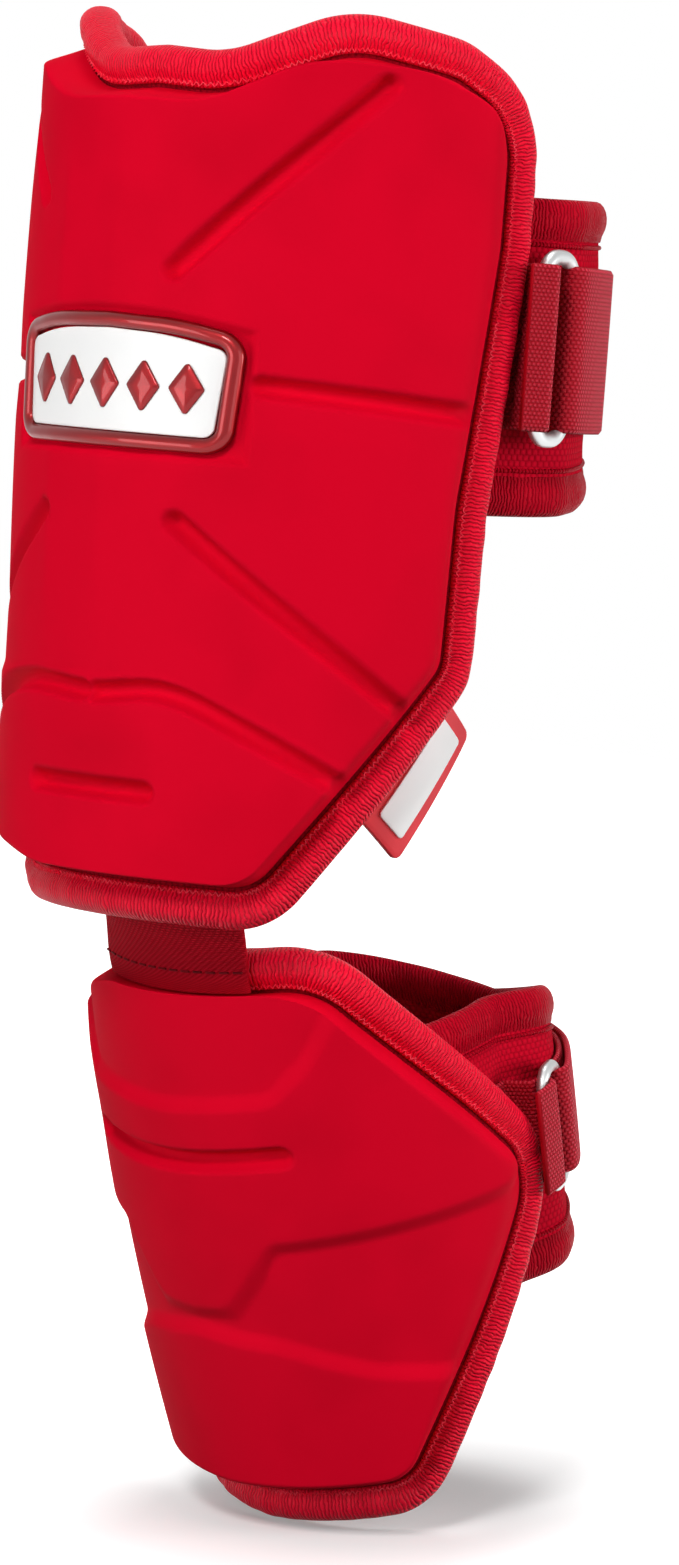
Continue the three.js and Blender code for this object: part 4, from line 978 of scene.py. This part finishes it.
def webbingPieces(shell):
    place, side = ringPlace(shell), sideX(shell)
    top = place["lift"] + place["turn"]
    end = [[min(side + shell["anchorEnd"], place["near"] - 1), top - shell["anchorDrop"]]]
    under = overStrap(shell, side - webbing["tail"], max(side + 1, place["near"] - place["turn"]), 0)
    anchor = np.concatenate([under, turnRound(place, place["near"], 1), end])
    webbingPiece(f"{shell['name']}_anchor_loop", shell, anchor, f"{shell['name']}_anchor_webbing")
    first = place["far"] + place["turn"]
    back = overStrap(shell, first, degreesToX(shell, shell["freeEnd"]), 1)
    back[:, 1] = mix(top, back[:, 1], smooth((back[:, 0] - place["far"]) / webbing["settle"]))
    pull = np.concatenate([overStrap(shell, first, farSide(shell, side - webbing["tail"]), 0)[::-1],
                           turnRound(place, place["far"], -1), back])
    webbingPiece(f"{shell['name']}_pull_loop", shell, pull, f"{shell['name']}_pull_webbing")


for shell in (upperShell, lowerShell):
    strapPieces(shell)
    ringPiece(shell)
    webbingPieces(shell)
print("straps, rings and webbing made")


# Tag on the upper shell's slanting edge, and the elastic link between the shells

tag = {"length": 36.0, "width": 19.5, "thickness": 1.5, "hidden": 3.0, "corner": 2.0, "along": 0.29,
       "out": -8.3, "panelLength": 28.0, "panelWidth": 9.0, "panelThickness": 0.6, "panelMiddle": 0.55}
link = {"width": 46.0, "thickness": 1.8, "tuck": 50.0, "sewn": 10.0, "free": 12.0, "inside": -5.5,
        "outside": 3.4, "bend": 8 / 3, "lap": 7.7, "lift": 0.3,
        "stitches": 14, "stitch": 2.3, "thread": 0.28, "seamRow": 45, "rounding": 0.03,
        "clothLength": 70.0}


def tagLoop(length, low, high, corner):
    corners = cornersOf(upperShell, upperShell["edge"])
    start, end = (np.array(corners[upperShell["sideTo"] - k][:2]) for k in (1, 0))
    along = unit(start - end)
    outwards = np.array([along[1], -along[0]])
    centre = mix(start, end, tag["along"]) + outwards * (low + high) / 2
    half, wide = length / 2, (high - low) / 2
    square = [(-half, -wide, corner), (-half, wide, corner), (half, wide, corner), (half, -wide, corner)]
    loop = roundedLoop(square, 6)
    return evenLoop(centre - along * loop[:, :1] + outwards * loop[:, 1:], 160)


def tagPieces():
    low, high = tag["out"], tag["out"] + tag["thickness"]
    loop = tagLoop(tag["length"], -tag["hidden"], tag["width"] - tag["hidden"], tag["corner"])
    body = slabPiece("edge_tag_body", upperShell, loop, low, high, 0.35, "tag_rubber")
    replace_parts(body, "edge_tag")
    middle, half = (tag["width"] - tag["hidden"]) * tag["panelMiddle"], tag["panelWidth"] / 2
    loop = tagLoop(tag["panelLength"], middle - half, middle + half, tag["corner"] / 2)
    face = slabPiece("edge_tag_face", upperShell, loop, high + 0.02, high + 0.02 + tag["panelThickness"], 0.2,
                     "white_plate")
    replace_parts(face, "edge_tag_panel")


def linkPiece():
    count = 61
    x = np.linspace(-0.5, 0.5, count) * link["width"]
    share = meanRadius(lowerShell) / (meanRadius(lowerShell) + link["outside"])
    top = lowerShell["edge"][0][1] * lowerShell["height"]
    upperX = x - degreesToX(upperShell, upperShell["turn"])
    rows = np.stack([
        sheetPoint(upperShell, upperX, link["tuck"], link["inside"]),
        sheetPoint(upperShell, upperX, link["tuck"] - link["sewn"], link["inside"]),
        sheetPoint(lowerShell, x * share, top + link["free"], link["outside"] + link["lift"]),
        sheetPoint(lowerShell, x * share, top - link["bend"], link["outside"] + link["lift"]),
        sheetPoint(lowerShell, x * share, top - link["lap"], link["outside"])])
    curve = throughPoints(rows.reshape(5, -1), count).reshape(count, count, 3)
    across, down = np.gradient(curve, axis=1), np.gradient(curve, axis=0)
    normal = unit(np.cross(across, down))
    place = np.linspace(0, 1, count)
    edge = np.minimum(1, np.minimum(place, 1 - place) / link["rounding"])
    half = 0.0005 * link["thickness"] * np.sqrt(1 - (1 - np.clip(edge, 0.1, 1)) ** 2)[None, :, None]
    front, back = curve + normal * half, curve - normal * half
    uv = lengthsUv(np.linspace(0, link["clothLength"], count), x)[..., ::-1]
    rim = np.stack([borderOf(front), borderOf(back)])
    surfaces = [gridSurface(front, uv), gridSurface(back, uv), gridSurface(rim, closedAcross=True)]
    piece = makePiece("elbow_link_band", surfaces, "elastic")
    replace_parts(piece, "elbow_link")
    outwards = -np.sign(normal[link["seamRow"], count // 2, 1]) * normal[link["seamRow"]]
    row = curve[link["seamRow"]] + outwards * 0.00055 * link["thickness"]
    lengths = 1000 * lengthsAlong(row)
    stitches = []
    for middle in np.linspace(2, lengths[-1] - 2, link["stitches"]):
        along = middle + np.linspace(-0.5, 0.5, 7) * link["stitch"]
        stitches += tubeSurface(pointsAt(along, lengths, row), 0.001 * link["thread"], 6, False)
    makePiece("elbow_link_stitches", stitches, "seam")


tagPieces()
linkPiece()
print("tag and link made")


# White studio: camera, soft light from above and the left, and a floor whose glow dims under the guard as a
# painted shadow, over the faint real shadow of the lamps

view = {"azimuth": 46.5, "elevation": 8.0, "distance": 1500.0, "right": 15.34, "up": 36.93,
        "focalPixels": 6600.0, "pictureHeight": 1565, "sensor": 36}
paintedShadow = {"middle": (0.003, 0.024), "reach": 0.135, "darkest": 0.1}    # painted shadow on the floor under the guard, in metres


def viewAxes():
    a, e = math.radians(view["azimuth"]), math.radians(view["elevation"])
    back = np.array([math.sin(a) * math.cos(e), -math.cos(a) * math.cos(e), math.sin(e)])
    right = np.array([math.cos(a), math.sin(a), 0])
    return right, np.cross(back, right), back


def aimed(obj, place, target):
    axis = mathutils.Vector(place) - mathutils.Vector(target)
    obj.location = place
    obj.rotation_euler = axis.to_track_quat("Z", "Y").to_euler()
    bpy.context.scene.collection.objects.link(obj)


def studio():
    right, up, back = viewAxes()
    target = 0.001 * (right * view["right"] + up * view["up"])
    camera = bpy.data.objects.new("camera", bpy.data.cameras.new("camera"))
    camera.data.lens = view["focalPixels"] / view["pictureHeight"] * view["sensor"]
    camera.data.sensor_width = view["sensor"]
    camera.data.clip_end = 10
    aimed(camera, target + back * 0.001 * view["distance"], target)
    bpy.context.scene.camera = camera
    # metres to the right, up and back from the target, then size and watts
    for name, place, size, power in (
            ("key", (-0.35, 0.9, 1.3), 0.4, 13),
            ("left", (-1.4, 0.0, 0.8), 0.9, 13),
            ("low", (-0.4, -0.8, 1.1), 0.7, 21.5),
            ("right", (0.9, 0.1, 1.2), 0.9, 5.5),
            ("side", (1.5, 0.1, 0.3), 0.6, 13),
            ("top", (0.1, 1.6, -0.1), 0.6, 9)):
        lamp = bpy.data.objects.new(name, bpy.data.lights.new(name, "AREA"))
        lamp.data.size = size
        lamp.data.energy = power
        aimed(lamp, target + right * place[0] + up * place[1] + back * place[2], target)
    world = bpy.data.worlds.new("white room")
    world.use_nodes = True
    world.node_tree.nodes["Background"].inputs["Color"].default_value = (1, 1, 1, 1)
    world.node_tree.nodes["Background"].inputs["Strength"].default_value = 1.0
    # the white room is seen and mirrored, the lamps light the guard
    world.cycles_visibility.diffuse = False
    bpy.context.scene.world = world
    bpy.context.scene.view_settings.view_transform = "Standard"


def floorPiece():
    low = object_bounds()[0][2] - 0.001
    mesh = bpy.data.meshes.new("floor")
    mesh.from_pydata([(-1, -1, low), (1, -1, low), (1, 1, low), (-1, 1, low)], [], [(0, 1, 2, 3)])
    finish = Finish("floor white", (0.9, 0.9, 0.9), 0.9, Specular_IOR_Level=0.0, Emission_Color=(1, 1, 1, 1))
    # the glow dims towards a point under the guard: a painted shadow, over the real one the lamps cast on the
    # floor's white
    away = finish.tree.nodes.new("ShaderNodeVectorMath")
    away.operation = "DISTANCE"
    away.inputs[1].default_value = (*paintedShadow["middle"], low)
    finish.tree.links.new(finish.coordinates.outputs["Object"], away.inputs[0])
    bright = finish.ramp(away.outputs["Value"], 0.0, paintedShadow["reach"])
    bright.node.interpolation_type = "SMOOTHSTEP"
    span = mathNode(finish.tree, "MULTIPLY", bright, 1 - paintedShadow["darkest"])
    glow = mathNode(finish.tree, "ADD", span, paintedShadow["darkest"])
    finish.tree.links.new(glow, finish.shader.inputs["Emission Strength"])
    mesh.materials.append(finish.material)
    floor = bpy.data.objects.new("floor", mesh)
    bpy.context.scene.collection.objects.link(floor)
    floor.visible_diffuse = False


studio()
floorPiece()
print("studio ready")
